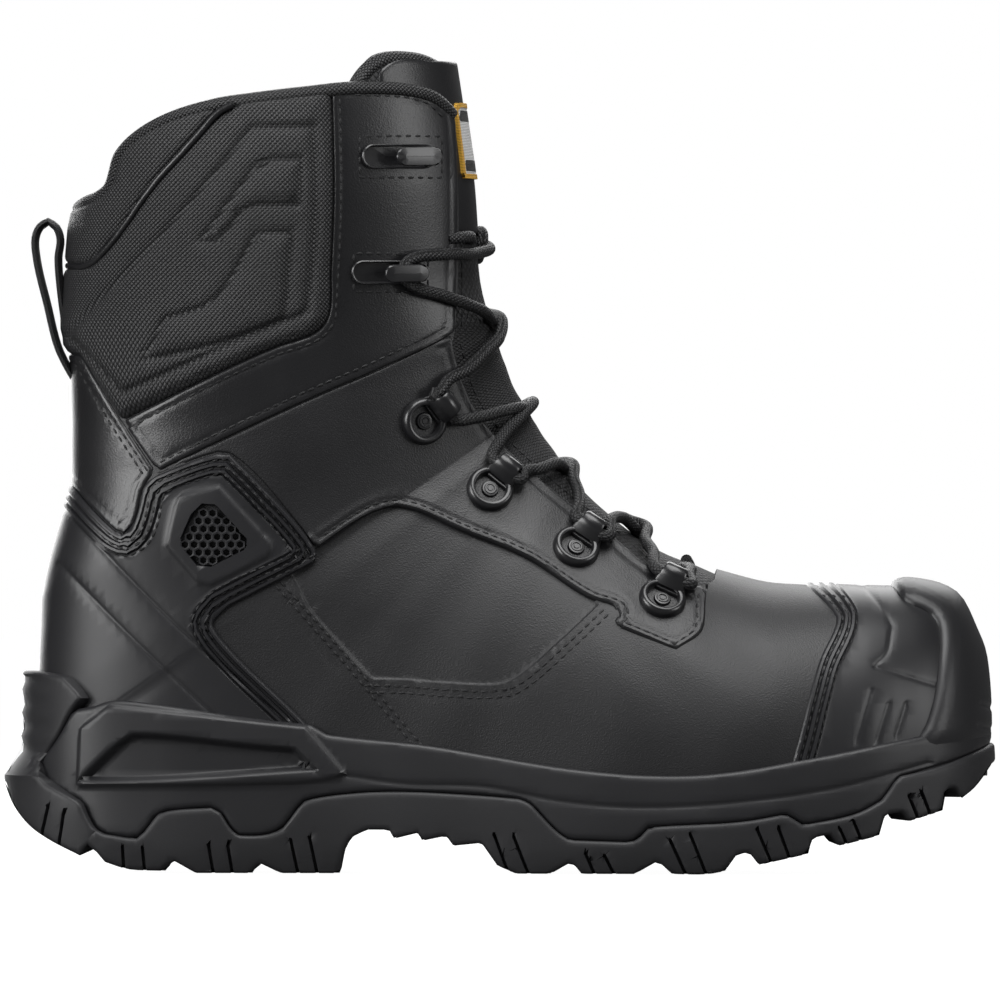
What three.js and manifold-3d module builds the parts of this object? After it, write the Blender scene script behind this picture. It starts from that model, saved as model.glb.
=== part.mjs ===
// Right safety boot: an eight-inch lace-up work boot with a moulded sole, toe bumper, heel counter and padded collar.
// Millimetres, +X to the toe, +Y to the inner side of the foot, +Z up, soles on z = 0.
import * as THREE from "three";
import { mergeVertices } from "three/addons/utils/BufferGeometryUtils.js";
import Module from "manifold-3d";

const wasm = await Module();
wasm.setup();

// Main sizes
const BOOT_LENGTH = 320;
const COLLAR_HEIGHT = 250;
const BALL_WIDTH = 104;
const HEEL_WIDTH = 75;
const SHAFT_WIDTH = 94;

// Walls and gaps
const WALL = 2.4;
const CLEARANCE = 0.3;
const SOLE_GAP = 0.4;
const INSOLE_THICKNESS = 4;
const TONGUE_THICKNESS = 5;

// How far the rubber stands out past the foot of the upper
const MIDSOLE_MARGIN = 4.6;
const MIDSOLE_HEEL_MARGIN = 7.5;
const OUTSOLE_MARGIN = 6;
const OUTSOLE_HEEL_MARGIN = 13.3;
const BUMPER_THICKNESS = 4.5;
const CHANNEL_WIDTH = 5;
const CHANNEL_DEPTH = 5;
const PANEL_RECESS = 1.6;
const HOLLOW_DROP = 7;

// Thickness of what is laid on the upper
const COLLAR_PADDING = 3.8;
const COUNTER_THICKNESS = 2.2;
const COUNTER_RIB = 0.9;
const COUNTER_BORDER = 7;
const GUARD_THICKNESS = 1.1;
const GUARD_RIB = 0.8;
const GUARD_BORDER = 6.5;
const BACKSTAY_THICKNESS = 1.6;
const FACING_THICKNESS = 1.5;
const QUARTER_THICKNESS = 1.2;

// Small pieces
const LABEL_THICKNESS = 1.1;
const LABEL_WIDTH = 33;
const LOOP_WIDTH = 18;
const LOOP_THICKNESS = 1.8;
const LACE_DIAMETER = 3.8;
const LACE_SIDES = 6;
const EYELET_RADIUS = 7.2;
const EYELET_HEIGHT = 1.4;
const DISH_RADIUS = 4.8;
const DISH_DEPTH = 0.8;
const TAB_WIDTH = 7.6;
const TAB_REACH = 11.2;
const TAB_WALL = 1;
const EYELET_SIDES = 8;
const HOOK_PLATE = 0.8;
const HOOK_GAP = 4.9;
const HOOK_BAR = 1.3;

// How finely the upper is cut into facets
const FRONT_STEPS = 3;
const BACK_STEPS = 3;

// Makes rows of numbers into objects with named columns
const table = (columns, rows) =>
  rows.map((row) => Object.fromEntries(columns.map((name, i) => [name, row[i]])));

// One row for each section of the upper, from the toe tip over the instep and round the heel to the top of the shaft.
// ridge and base are the ends of the section in the side view: along is a share of BOOT_LENGTH from the heel,
// up is a share of COLLAR_HEIGHT from the floor. The widths are shares of the width that the section follows.
// front and back are the powers of its two rounded parts, widest is where it is widest between ridge and base.
const SECTIONS = table(
  [
    "ridgeAlong", "ridgeUp", "baseAlong", "baseUp",
    "ridgeSide", "lateral", "medial", "baseLateral", "baseMedial",
    "front", "back", "widest",
  ],
  [
    [0.982, 0.177, 0.982, 0.124, 0.106, -0.1, 0.112, -0.102, 0.11, 2, 2, 0.8],
    [0.981, 0.221, 0.981, 0.124, 0.099, -0.023, 0.175, -0.026, 0.172, 2.1, 2, 0.8],
    [0.977, 0.273, 0.977, 0.123, 0.09, 0.071, 0.25, 0.066, 0.245, 2.2, 2, 0.8],
    [0.967, 0.308, 0.967, 0.12, 0.079, 0.178, 0.332, 0.172, 0.326, 2.2, 2, 0.8],
    [0.951, 0.346, 0.951, 0.117, 0.068, 0.27, 0.397, 0.263, 0.39, 2.2, 2, 0.8],
    [0.93, 0.357, 0.93, 0.111, 0.058, 0.336, 0.436, 0.328, 0.428, 2.25, 2, 0.8],
    [0.905, 0.361, 0.905, 0.105, 0.049, 0.381, 0.458, 0.372, 0.449, 2.3, 2, 0.8],
    [0.87, 0.362, 0.87, 0.099, 0.04, 0.435, 0.481, 0.424, 0.47, 2.3, 2, 0.8],
    [0.77, 0.368, 0.77, 0.09, 0.03, 0.512, 0.488, 0.498, 0.474, 2.15, 2, 0.79],
    [0.72, 0.385, 0.72, 0.09, 0.03, 0.525, 0.471, 0.51, 0.456, 2, 2, 0.78],
    [0.64, 0.442, 0.64, 0.096, 0.029, 0.51, 0.423, 0.494, 0.408, 1.8, 2, 0.77],
    [0.611, 0.472, 0.56, 0.108, 0.025, 0.499, 0.413, 0.491, 0.386, 1.75, 2, 0.74],
    [0.588, 0.5, 0.48, 0.123, 0.018, 0.511, 0.433, 0.494, 0.383, 1.7, 2, 0.69],
    [0.571, 0.529, 0.4, 0.135, 0.01, 0.533, 0.477, 0.508, 0.409, 1.65, 2, 0.63],
    [0.56, 0.55, 0.32, 0.142, 0.005, 0.538, 0.518, 0.515, 0.454, 1.65, 2.1, 0.59],
    [0.55, 0.567, 0.24, 0.148, 0, 0.524, 0.52, 0.5, 0.473, 1.65, 2.2, 0.56],
    [0.544, 0.58, 0.17, 0.151, 0, 0.52, 0.52, 0.483, 0.477, 1.65, 2.3, 0.55],
    [0.54, 0.588, 0.12, 0.152, 0, 0.52, 0.52, 0.44, 0.44, 1.65, 2.4, 0.54],
    [0.538, 0.593, 0.08, 0.152, 0, 0.52, 0.52, 0.355, 0.355, 1.65, 2.4, 0.54],
    [0.535, 0.599, 0.046, 0.152, 0, 0.52, 0.52, 0.115, 0.115, 1.65, 2.4, 0.54],
    [0.534, 0.602, 0.0435, 0.152, 0, 0.52, 0.52, 0.02, 0.02, 1.65, 2.4, 0.54],
    [0.531, 0.608, 0.0425, 0.205, 0, 0.52, 0.52, 0, 0, 1.65, 2.4, 0.54],
    [0.521, 0.629, 0.047, 0.349, 0, 0.488, 0.488, 0, 0, 1.7, 2.4, 0.54],
    [0.514, 0.654, 0.074, 0.503, 0, 0.441, 0.441, 0, 0, 1.7, 2.3, 0.53],
    [0.51, 0.667, 0.074, 0.567, 0, 0.431, 0.431, 0, 0, 1.7, 2.3, 0.52],
    [0.503, 0.697, 0.071, 0.695, 0, 0.438, 0.438, 0, 0, 1.75, 2.3, 0.52],
    [0.489, 0.759, 0.075, 0.759, 0, 0.457, 0.457, 0, 0, 1.8, 2.3, 0.52],
    [0.481, 0.887, 0.08, 0.887, 0, 0.495, 0.495, 0, 0, 1.9, 2.3, 0.52],
    [0.474, 0.951, 0.081, 0.951, 0, 0.5, 0.5, 0, 0, 1.95, 2.3, 0.52],
    [0.46, 1.07, 0.083, 1.07, 0, 0.5, 0.5, 0, 0, 2, 2.3, 0.52],
  ],
);

// Where the widths pass over from one size to the next
const HEEL_ENDS = 0.3;
const BALL_STARTS = 0.65;
const HEEL_TOP = 0.2;
const SHAFT_STARTS = 0.65;
const HEEL_FLARE_ENDS = 0.16;

// Insets of the sides of the rubber by height, as shares of its margin at the heel and along the sides
const MIDSOLE_LEVELS = table(
  ["up", "heel", "side"],
  [
    [0.01, 0.95, 0.8],
    [0.06, 1, 1],
    [0.13, 1, 1],
    [0.21, 0.98, 0.85],
    [0.3, 0.95, 0.5],
  ],
);
const OUTSOLE_LEVELS = table(
  ["up", "heel", "side"],
  [
    [-0.01, 0.8, 0.55],
    [0.035, 0.92, 0.9],
    [0.09, 1, 1],
    [0.125, 1, 1],
    [0.152, 0.6, 0.9],
    [0.27, 0.54, 0.8],
  ],
);

// Side-view lines: along is a share of BOOT_LENGTH, up is a share of COLLAR_HEIGHT
const PARTING_LINE = table(
  ["along", "up"],
  [
    [0.071, 0.209], [0.055, 0.173], [0.036, 0.141], [0.036, 0.127], [0.045, 0.114],
    [0.08, 0.091], [0.086, 0.073], [0.094, 0.056], [0.104, 0.05], [0.136, 0.044], [0.144, 0.052],
    [0.157, 0.076], [0.166, 0.079], [0.211, 0.084], [0.221, 0.078], [0.232, 0.056], [0.24, 0.049],
    [0.259, 0.049], [0.283, 0.058], [0.303, 0.092], [0.313, 0.096], [0.362, 0.104], [0.403, 0.105],
    [0.485, 0.1], [0.52, 0.096], [0.53, 0.09], [0.558, 0.052], [0.569, 0.044], [0.63, 0.041],
    [0.64, 0.048], [0.65, 0.06], [0.744, 0.068], [0.785, 0.077], [0.803, 0.063], [0.858, 0.078],
    [0.883, 0.095], [0.899, 0.124], [0.94, 0.137], [0.985, 0.157], [0.999, 0.165],
  ],
);
const TREAD_LINE = table(
  ["along", "up"],
  [
    [0.998, 0.155], [0.993, 0.136], [0.975, 0.108], [0.962, 0.095], [0.956, 0.11], [0.946, 0.108],
    [0.942, 0.079], [0.908, 0.067], [0.902, 0.079], [0.884, 0.076], [0.878, 0.049], [0.838, 0.036],
    [0.829, 0.051], [0.811, 0.046], [0.807, 0.026], [0.758, 0.012], [0.748, 0.028], [0.736, 0.026],
    [0.724, 0.004], [0.707, 0], [0.671, 0], [0.657, 0.017], [0.634, 0], [0.581, 0], [0.571, 0.015],
    [0.55, 0], [0.515, 0], [0.497, 0.01], [0.481, 0.04], [0.453, 0.036], [0.446, 0.049], [0.422, 0.042],
    [0.418, 0.052], [0.394, 0.045], [0.389, 0.056], [0.367, 0.056], [0.351, 0.046], [0.344, 0.029],
    [0.34, 0], [0.281, 0], [0.258, 0.014], [0.253, 0], [0.196, 0], [0.171, 0.018], [0.166, 0.003],
    [0.127, 0.005], [0.105, 0.014], [0.089, 0.038], [0.08, 0.022], [0.048, 0.042], [0.029, 0.059],
    [0.013, 0.083], [0.002, 0.111], [0.006, 0.128], [0.019, 0.156], [0.022, 0.176], [0.021, 0.2],
    [0.024, 0.214], [0.021, 0.23],
  ],
);
const CUP_LINE = table(
  ["along", "up"],
  [[0.021, 0.251], [0.032, 0.257], [0.06, 0.252], [0.073, 0.237], [0.082, 0.225]],
);
const RAND_LINE = table(
  ["along", "up"],
  [
    [0.08, 0.212], [0.106, 0.22], [0.166, 0.215], [0.24, 0.201], [0.311, 0.191], [0.354, 0.174],
    [0.424, 0.165], [0.485, 0.152], [0.558, 0.137], [0.642, 0.127], [0.693, 0.127], [0.744, 0.133],
    [0.795, 0.145], [0.84, 0.155], [0.889, 0.168], [0.925, 0.176], [0.97, 0.19], [0.999, 0.2],
  ],
);
const BUMPER_EDGE = table(
  ["along", "up"],
  [
    [0.905, 0.15], [0.921, 0.18], [0.931, 0.223], [0.936, 0.271], [0.937, 0.303], [0.934, 0.32],
    [0.914, 0.337], [0.902, 0.346], [0.894, 0.361], [0.877, 0.372], [0.877, 0.42],
  ],
);
const BUMPER_FRONT = table(
  ["along", "up"],
  [[1.03, 0.42], [1.03, 0.18], [0.95, 0.16]],
);
const PANEL_LINE = table(
  ["along", "up"],
  [
    [0.076, 0.116], [0.123, 0.173], [0.133, 0.18], [0.15, 0.18], [0.259, 0.166], [0.297, 0.163],
    [0.322, 0.131], [0.11, 0.115],
  ],
);

// Top of the shaft, front edge of the facing and edge of the throat
const COLLAR_LINE = table(
  ["along", "up"],
  [
    [0.03, 0.856], [0.074, 0.856], [0.102, 0.869], [0.112, 0.88], [0.121, 0.917], [0.134, 0.937],
    [0.166, 0.963], [0.217, 0.983], [0.249, 0.99], [0.306, 0.999], [0.354, 1.003], [0.414, 1],
    [0.434, 0.992], [0.45, 0.974],
  ],
);
const THROAT_LINE = table(
  ["along", "up"],
  [
    [0.453, 0.946], [0.453, 0.694], [0.451, 0.678], [0.461, 0.63], [0.472, 0.598], [0.495, 0.557],
    [0.525, 0.518], [0.567, 0.472], [0.61, 0.43], [0.638, 0.399], [0.68, 0.367], [0.7, 0.363],
    [0.714, 0.372], [0.72, 0.4],
  ],
);
const TONGUE_LINE = table(
  ["along", "up"],
  [
    [0.356, 0.99], [0.36, 1.016], [0.37, 1.032], [0.385, 1.048], [0.405, 1.053], [0.44, 1.049],
    [0.453, 1.04], [0.5, 1.03], [0.56, 0.7], [0.74, 0.45], [0.735, 0.35], [0.68, 0.335],
    [0.6, 0.385], [0.5, 0.47], [0.43, 0.56], [0.4, 0.68], [0.4, 0.85],
  ],
);

// Edges of what is laid on the upper, each shared by the two pieces that meet there
const COUNTER_EDGE = table(
  ["along", "up"],
  [
    [-0.02, 0.507], [0.066, 0.507], [0.08, 0.486], [0.1, 0.458], [0.125, 0.432], [0.135, 0.442],
    [0.144, 0.492], [0.152, 0.506], [0.199, 0.53], [0.228, 0.538], [0.299, 0.444], [0.319, 0.406],
    [0.314, 0.397], [0.218, 0.333], [0.212, 0.318], [0.303, 0.197], [0.33, 0.16],
  ],
);
const BACKSTAY_EDGE = table(
  ["along", "up"],
  [[-0.02, 0.667], [0.062, 0.667], [0.083, 0.664], [0.112, 0.603], [0.124, 0.579], [0.156, 0.516]],
);
const COLLAR_SEAM = table(
  ["along", "up"],
  [
    [0.332, 1.02], [0.333, 0.873], [0.33, 0.771], [0.327, 0.709], [0.319, 0.695], [0.274, 0.672],
    [0.223, 0.643], [0.124, 0.579],
  ],
);
const FACING_EDGE = table(
  ["along", "up"],
  [[0.451, 0.691], [0.383, 0.648], [0.319, 0.612], [0.217, 0.55], [0.159, 0.513]],
);
const QUARTER_EDGE = table(
  ["along", "up"],
  [
    [0.709, 0.372], [0.705, 0.345], [0.704, 0.319], [0.701, 0.307], [0.675, 0.283], [0.616, 0.315],
    [0.6145, 0.322], [0.621, 0.333], [0.616, 0.338], [0.592, 0.349], [0.527, 0.402], [0.457, 0.439],
    [0.411, 0.465], [0.388, 0.467], [0.322, 0.42],
  ],
);
const GUARD_EDGE = table(
  ["along", "up"],
  [
    [0.79, 0.1], [0.791, 0.146], [0.796, 0.169], [0.808, 0.229], [0.818, 0.271], [0.835, 0.316],
    [0.836, 0.323], [0.83, 0.335], [0.815, 0.355], [0.804, 0.369], [0.804, 0.42],
  ],
);
const VENT_LINE = table(
  ["along", "up"],
  [
    [0.179, 0.483], [0.22, 0.495], [0.273, 0.421], [0.271, 0.406], [0.21, 0.366], [0.201, 0.369],
    [0.167, 0.42],
  ],
);
const LABEL_LINE = table(
  ["along", "up"],
  [[0.456, 0.99], [0.5, 0.99], [0.5, 0.893], [0.456, 0.893]],
);
const LOOP_LINE = table(
  ["along", "up"],
  [
    [0.056, 0.673], [0.043, 0.728], [0.033, 0.79], [0.033, 0.815], [0.038, 0.829], [0.045, 0.834],
    [0.052, 0.829], [0.056, 0.815], [0.056, 0.79], [0.053, 0.75],
  ],
);

// Eyelets and hooks of one side, top first: the middle of each, and which way an eyelet's tab points
const EYELETS = table(
  ["along", "up", "tabAlong", "tabUp"],
  [
    [0.422, 0.578, 0.79, 0.61],
    [0.489, 0.489, 0.62, 0.78],
    [0.575, 0.413, 0.56, 0.83],
    [0.661, 0.347, 0.42, 0.91],
  ],
);
const HOOKS = table(["along", "up"], [[0.401, 0.916], [0.391, 0.771]]);
const HOOK_HALF = { along: 0.037, up: 0.022, bar: 0.012 };

// The lace of one side, from the knot in front down to the lowest bar. side is -1 on its own side, 1 on the other
// and 0 over the middle; lift is how far its middle lies off the surface there, as a share of its diameter.
// A row with an eyelet's number goes through that eyelet.
const LACE_ROUTE = table(
  ["along", "up", "side", "lift", "eyelet"],
  [
    [0.449, 0.82, -1, 0.75], [0.463, 0.822, -1, 0.75], [0.485, 0.816, 0], [0.486, 0.803, 0],
    [0.466, 0.795, -1, 0.8], [0.448, 0.796, -1, 1], [0.43, 0.796, -1, 1.02], [0.411, 0.794, -1, 1.02],
    [0.4, 0.784, -1, 1.02], [0.3965, 0.771, -1, 1.02], [0.4, 0.758, -1, 1.02], [0.411, 0.7485, -1, 1.02],
    [0.432, 0.743, -1, 1.02], [0.452, 0.732, -1, 1], [0.478, 0.719, -1, 0.75], [0.4995, 0.706, 0],
    [0.484, 0.676, 1, 0.75], [0.462, 0.648, 1, 0.9], [0, 0, 1, 0, 1], [0.471, 0.575, 1, 1],
    [0.502, 0.592, 1, 0.75], [0.533, 0.602, 0], [0.518, 0.582, -1, 0.8], [0.5, 0.56, -1, 0.9],
    [0, 0, -1, 0, 2], [0.537, 0.51, -1, 0.9], [0.557, 0.521, -1, 0.75], [0.575, 0.523, 0],
    [0.579, 0.5, 1, 0.8], [0.579, 0.472, 1, 0.95], [0, 0, 1, 0, 3], [0.617, 0.438, 1, 0.95],
    [0.631, 0.453, 1, 0.75], [0.643, 0.446, 0], [0.647, 0.425, -1, 0.8], [0.65, 0.4, -1, 0.95],
    [0, 0, -1, 0, 4], [0.698, 0.3745, -1, 0.95], [0.699, 0.391, -1, 0.9], [0.6835, 0.4065, 0],
  ],
);

// A point of the side view, in millimetres
const alongX = (along) => (along - 0.5) * BOOT_LENGTH;
const upZ = (up) => up * COLLAR_HEIGHT;
const line = (rows) => rows.map(({ along, up }) => new THREE.Vector2(alongX(along), upZ(up)));

// A smooth step from 0 at low to 1 at high
function smoothStep(low, high, value) {
  const share = Math.min(1, Math.max(0, (value - low) / (high - low)));
  return share * share * (3 - 2 * share);
}

// The width that a section's foot and its widest part follow
function baseWidth(row) {
  return HEEL_WIDTH + (BALL_WIDTH - HEEL_WIDTH) * smoothStep(HEEL_ENDS, BALL_STARTS, row.baseAlong);
}
function middleWidth(row) {
  if (row.baseAlong > HEEL_ENDS || row.baseLateral !== 0) return baseWidth(row);
  return HEEL_WIDTH + (SHAFT_WIDTH - HEEL_WIDTH) * smoothStep(HEEL_TOP, SHAFT_STARTS, row.baseUp);
}
const isOpen = (row) => row.baseLateral !== 0;

// A closed solid from points and triangles, turned so that its faces point out
function solidFrom(positions, triangles) {
  const geometry = new THREE.BufferGeometry();
  geometry.setAttribute("position", new THREE.Float32BufferAttribute(positions, 3));
  geometry.setIndex(triangles);
  return solidOf(geometry);
}

function solidOf(geometry) {
  const bare = geometry.clone();
  bare.deleteAttribute("normal");
  bare.deleteAttribute("uv");
  const merged = mergeVertices(bare, 1e-4);
  const index = merged.index.array;
  const kept = [];
  for (let i = 0; i < index.length; i += 3) {
    const [a, b, c] = [index[i], index[i + 1], index[i + 2]];
    if (a !== b && b !== c && c !== a) kept.push(a, b, c);
  }
  const vertProperties = new Float32Array(merged.attributes.position.array);
  const made = new wasm.Manifold(
    new wasm.Mesh({ numProp: 3, vertProperties, triVerts: new Uint32Array(kept) }),
  );
  if (made.volume() >= 0) return made;
  return new wasm.Manifold(
    new wasm.Mesh({ numProp: 3, vertProperties, triVerts: new Uint32Array(kept.reverse()) }),
  );
}

// The faceted surface of a solid
function geometryOf(solid) {
  const mesh = solid.getMesh();
  const geometry = new THREE.BufferGeometry();
  const positions = new Float32Array(mesh.numVert * 3);
  for (let i = 0; i < mesh.numVert; i++)
    positions.set(mesh.vertProperties.subarray(i * mesh.numProp, i * mesh.numProp + 3), i * 3);
  geometry.setAttribute("position", new THREE.BufferAttribute(positions, 3));
  geometry.setIndex(new THREE.BufferAttribute(mesh.triVerts, 1));
  const faceted = geometry.toNonIndexed();
  faceted.computeVertexNormals();
  return faceted;
}

// A side-view outline as a flat region, grown by a distance or shrunk by a negative one
function region(outline, growth = 0) {
  const flat = new wasm.CrossSection([outline.map(({ x, y }) => [x, y])], "NonZero");
  return growth === 0 ? flat : flat.offset(growth, "Miter");
}

// A flat region of the side view carried through from one side to the other
function through(flat, low = -BALL_WIDTH, high = BALL_WIDTH) {
  return flat.extrude(high - low).rotate([90, 0, 0]).translate([0, high, 0]);
}
const prism = (outline, low, high) => through(region(outline), low, high);

// A line moved sideways by a distance, to its left as it runs
function shifted(points, distance) {
  return points.map((point, i) => {
    const before = points[Math.max(0, i - 1)];
    const after = points[Math.min(points.length - 1, i + 1)];
    const into = point.clone().sub(before).normalize();
    const out = after.clone().sub(point).normalize();
    if (i === 0) into.copy(out);
    if (i === points.length - 1) out.copy(into);
    const middle = into.clone().add(out).normalize();
    const normal = new THREE.Vector2(-middle.y, middle.x);
    const reach = distance / Math.max(0.4, middle.dot(into));
    return point.clone().addScaledVector(normal, reach);
  });
}

// One section of the upper, from its lateral foot over the ridge to its medial foot
function section(row, drop) {
  const middle = middleWidth(row);
  const base = baseWidth(row);
  const along = (share) => alongX(row.ridgeAlong + (row.baseAlong - row.ridgeAlong) * share);
  const up = (share) => upZ(row.ridgeUp + (row.baseUp - row.ridgeUp) * share);
  const side = (sign, widest, foot) => {
    const points = [];
    const ridge = row.ridgeSide * middle;
    for (let step = 0; step <= FRONT_STEPS; step++) {
      const angle = (step / FRONT_STEPS) * (Math.PI / 2);
      const share = row.widest * (1 - Math.cos(angle) ** (2 / row.front));
      const reach = Math.sin(angle) ** (2 / row.front);
      points.push(new THREE.Vector3(along(share), ridge + (sign * widest * middle - ridge) * reach, up(share)));
    }
    const ratio = Math.min(1, (foot * base) / (widest * middle));
    const end = Math.max(0.01, Math.acos(ratio ** (row.back / 2)));
    for (let step = 1; step <= BACK_STEPS; step++) {
      const angle = (step / BACK_STEPS) * end;
      const share = row.widest + (1 - row.widest) * (Math.sin(angle) / Math.sin(end)) ** (2 / row.back);
      const width = step === BACK_STEPS ? foot * base : widest * middle * Math.cos(angle) ** (2 / row.back);
      points.push(new THREE.Vector3(along(share), sign * width, up(share)));
    }
    const foot3 = points[points.length - 1].clone();
    if (isOpen(row)) foot3.z -= drop;
    points.push(foot3);
    return points;
  };
  const lateral = side(-1, row.lateral, row.baseLateral);
  const medial = side(1, row.medial, row.baseMedial);
  return [...lateral.reverse(), ...medial.slice(1)];
}

// Smooth normals of a grid of points, shared where points coincide
function gridNormals(rings) {
  const key = (point) => point.toArray().map((v) => Math.round(v * 1e4)).join(" ");
  const sums = new Map();
  const a = new THREE.Vector3();
  const b = new THREE.Vector3();
  const add = (p, q, r) => {
    const face = a.subVectors(r, p).cross(b.subVectors(q, p)).clone();
    for (const point of [p, q, r]) {
      const name = key(point);
      if (!sums.has(name)) sums.set(name, new THREE.Vector3());
      sums.get(name).add(face);
    }
  };
  const last = rings[0].length - 1;
  for (let i = 0; i + 1 < rings.length; i++)
    for (let j = 0; j < last / 2; j++) {
      const mirror = last - j;
      add(rings[i][j], rings[i + 1][j], rings[i + 1][j + 1]);
      add(rings[i][j], rings[i + 1][j + 1], rings[i][j + 1]);
      add(rings[i][mirror], rings[i + 1][mirror - 1], rings[i + 1][mirror]);
      add(rings[i][mirror], rings[i][mirror - 1], rings[i + 1][mirror - 1]);
    }
  return rings.map((ring) => ring.map((point) => sums.get(key(point)).clone().normalize()));
}

// The upper's own form, grown or shrunk by an offset and carried down past its foot by a drop
const forms = new Map();
function form(offset, drop = 0) {
  const name = offset + " " + drop;
  if (!forms.has(name)) forms.set(name, grownForm(offset, drop));
  return forms.get(name);
}

function grownForm(offset, drop) {
  const skirt = Math.max(drop, 1);
  const rings = SECTIONS.map((row) => section(row, skirt));
  const normals = gridNormals(rings);
  const last = rings[0].length - 1;
  const foot = SECTIONS.map((row) => upZ(row.baseUp));
  const moved = rings.map((ring, i) =>
    ring.map((point, j) => {
      const normal = normals[i][j].clone();
      const atFoot = isOpen(SECTIONS[i]) && (j <= 1 || j >= last - 1);
      if (atFoot || i === rings.length - 1) normal.setZ(0).normalize();
      const place = point.clone().addScaledVector(normal, offset);
      if (atFoot && (j === 0 || j === last)) place.z = foot[i] - drop;
      return place;
    }),
  );
  const positions = moved.flat().flatMap((point) => point.toArray());
  const at = (i, j) => i * (last + 1) + j;
  const triangles = [];
  const quad = (p, q, r, s) => triangles.push(p, q, r, p, r, s);
  for (let i = 0; i + 1 < moved.length; i++) {
    for (let j = 0; j < last / 2; j++) {
      const mirror = last - j;
      quad(at(i, j), at(i + 1, j), at(i + 1, j + 1), at(i, j + 1));
      quad(at(i, mirror), at(i, mirror - 1), at(i + 1, mirror - 1), at(i + 1, mirror));
    }
    quad(at(i, last), at(i + 1, last), at(i + 1, 0), at(i, 0));
  }
  for (let j = 0; j < last / 2; j++) {
    quad(at(0, j), at(0, j + 1), at(0, last - j - 1), at(0, last - j));
    const top = moved.length - 1;
    quad(at(top, j), at(top, last - j), at(top, last - j - 1), at(top, j + 1));
  }
  return solidFrom(positions, triangles);
}

// The sole's outline from above: the foot of the upper grown by a margin that is larger round the heel
function soleOutline(side, heel) {
  const rows = SECTIONS.filter(isOpen);
  const lateral = rows.map((row) => new THREE.Vector2(alongX(row.baseAlong), -row.baseLateral * baseWidth(row)));
  const medial = rows.map((row) => new THREE.Vector2(alongX(row.baseAlong), row.baseMedial * baseWidth(row)));
  const loop = [...lateral.reverse(), ...medial];
  const heelEnd = Math.min(...rows.map((row) => row.baseAlong));
  return loop.map((point, i) => {
    const before = loop[(i + loop.length - 1) % loop.length];
    const after = loop[(i + 1) % loop.length];
    const tangent = after.clone().sub(before).normalize();
    const along = point.x / BOOT_LENGTH + 0.5;
    const share = 1 - smoothStep(heelEnd, HEEL_FLARE_ENDS, along);
    const margin = side + (heel - side) * share;
    return point.clone().add(new THREE.Vector2(tangent.y, -tangent.x).multiplyScalar(margin));
  });
}

// A stack of sole outlines at the heights of a level table
function soleBlock(levels, side, heel, inset = 0) {
  const loops = levels.map((level) => soleOutline(side * level.side - inset, heel * level.heel - inset));
  const count = loops[0].length;
  const positions = loops.flatMap((loop, i) =>
    loop.flatMap((point) => [point.x, point.y, upZ(levels[i].up)]),
  );
  const at = (i, j) => i * count + (j % count);
  const triangles = [];
  for (let i = 0; i + 1 < loops.length; i++)
    for (let j = 0; j < count; j++)
      triangles.push(at(i, j), at(i, j + 1), at(i + 1, j + 1), at(i, j), at(i + 1, j + 1), at(i + 1, j));
  for (const [a, b, c] of THREE.ShapeUtils.triangulateShape(loops[0], []))
    triangles.push(at(0, c), at(0, b), at(0, a));
  for (const [a, b, c] of THREE.ShapeUtils.triangulateShape(loops[loops.length - 1], []))
    triangles.push(at(loops.length - 1, a), at(loops.length - 1, b), at(loops.length - 1, c));
  return solidFrom(positions, triangles);
}

// What the collar line and the throat leave open, from above
function openingOutline() {
  const high = upZ(1.2);
  const ahead = line(THROAT_LINE).at(-1).x;
  return [
    ...line(COLLAR_LINE),
    ...line(THROAT_LINE),
    new THREE.Vector2(ahead, high),
    new THREE.Vector2(alongX(-0.05), high),
    new THREE.Vector2(alongX(-0.05), upZ(COLLAR_LINE[0].up)),
  ];
}

function upper() {
  return form(0).subtract(form(-WALL, HOLLOW_DROP)).subtract(prism(openingOutline()));
}

function insole() {
  const rows = SECTIONS.filter(isOpen);
  const foot = rows.map((row) => new THREE.Vector2(alongX(row.baseAlong), upZ(row.baseUp)));
  const front = new THREE.Vector2(alongX(1), foot[0].y);
  const back = new THREE.Vector2(alongX(0), foot.at(-1).y);
  const under = [front, ...foot, back];
  const over = under.map((point) => new THREE.Vector2(point.x, point.y + INSOLE_THICKNESS));
  return form(-WALL - CLEARANCE, HOLLOW_DROP).intersect(prism([...under, ...over.reverse()]));
}

function tongue() {
  const outer = WALL + CLEARANCE;
  return form(-outer).subtract(form(-outer - TONGUE_THICKNESS)).intersect(prism(line(TONGUE_LINE)));
}

// The room that the sole leaves for the upper
function lastRoom() {
  return form(SOLE_GAP, SOLE_GAP).add(form(0));
}

function midsole() {
  const parting = shifted(line(PARTING_LINE), CLEARANCE);
  const body = soleBlock(MIDSOLE_LEVELS, MIDSOLE_MARGIN, MIDSOLE_HEEL_MARGIN);
  const side = body.intersect(prism([...parting, ...line(RAND_LINE).reverse()]));
  const bumper = form(BUMPER_THICKNESS).intersect(prism([...line(BUMPER_EDGE), ...line(BUMPER_FRONT)]));
  const inner = soleBlock(MIDSOLE_LEVELS, MIDSOLE_MARGIN, MIDSOLE_HEEL_MARGIN, PANEL_RECESS);
  const panel = prism(line(PANEL_LINE)).subtract(inner);
  return side.subtract(panel).add(bumper).subtract(lastRoom());
}

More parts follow.
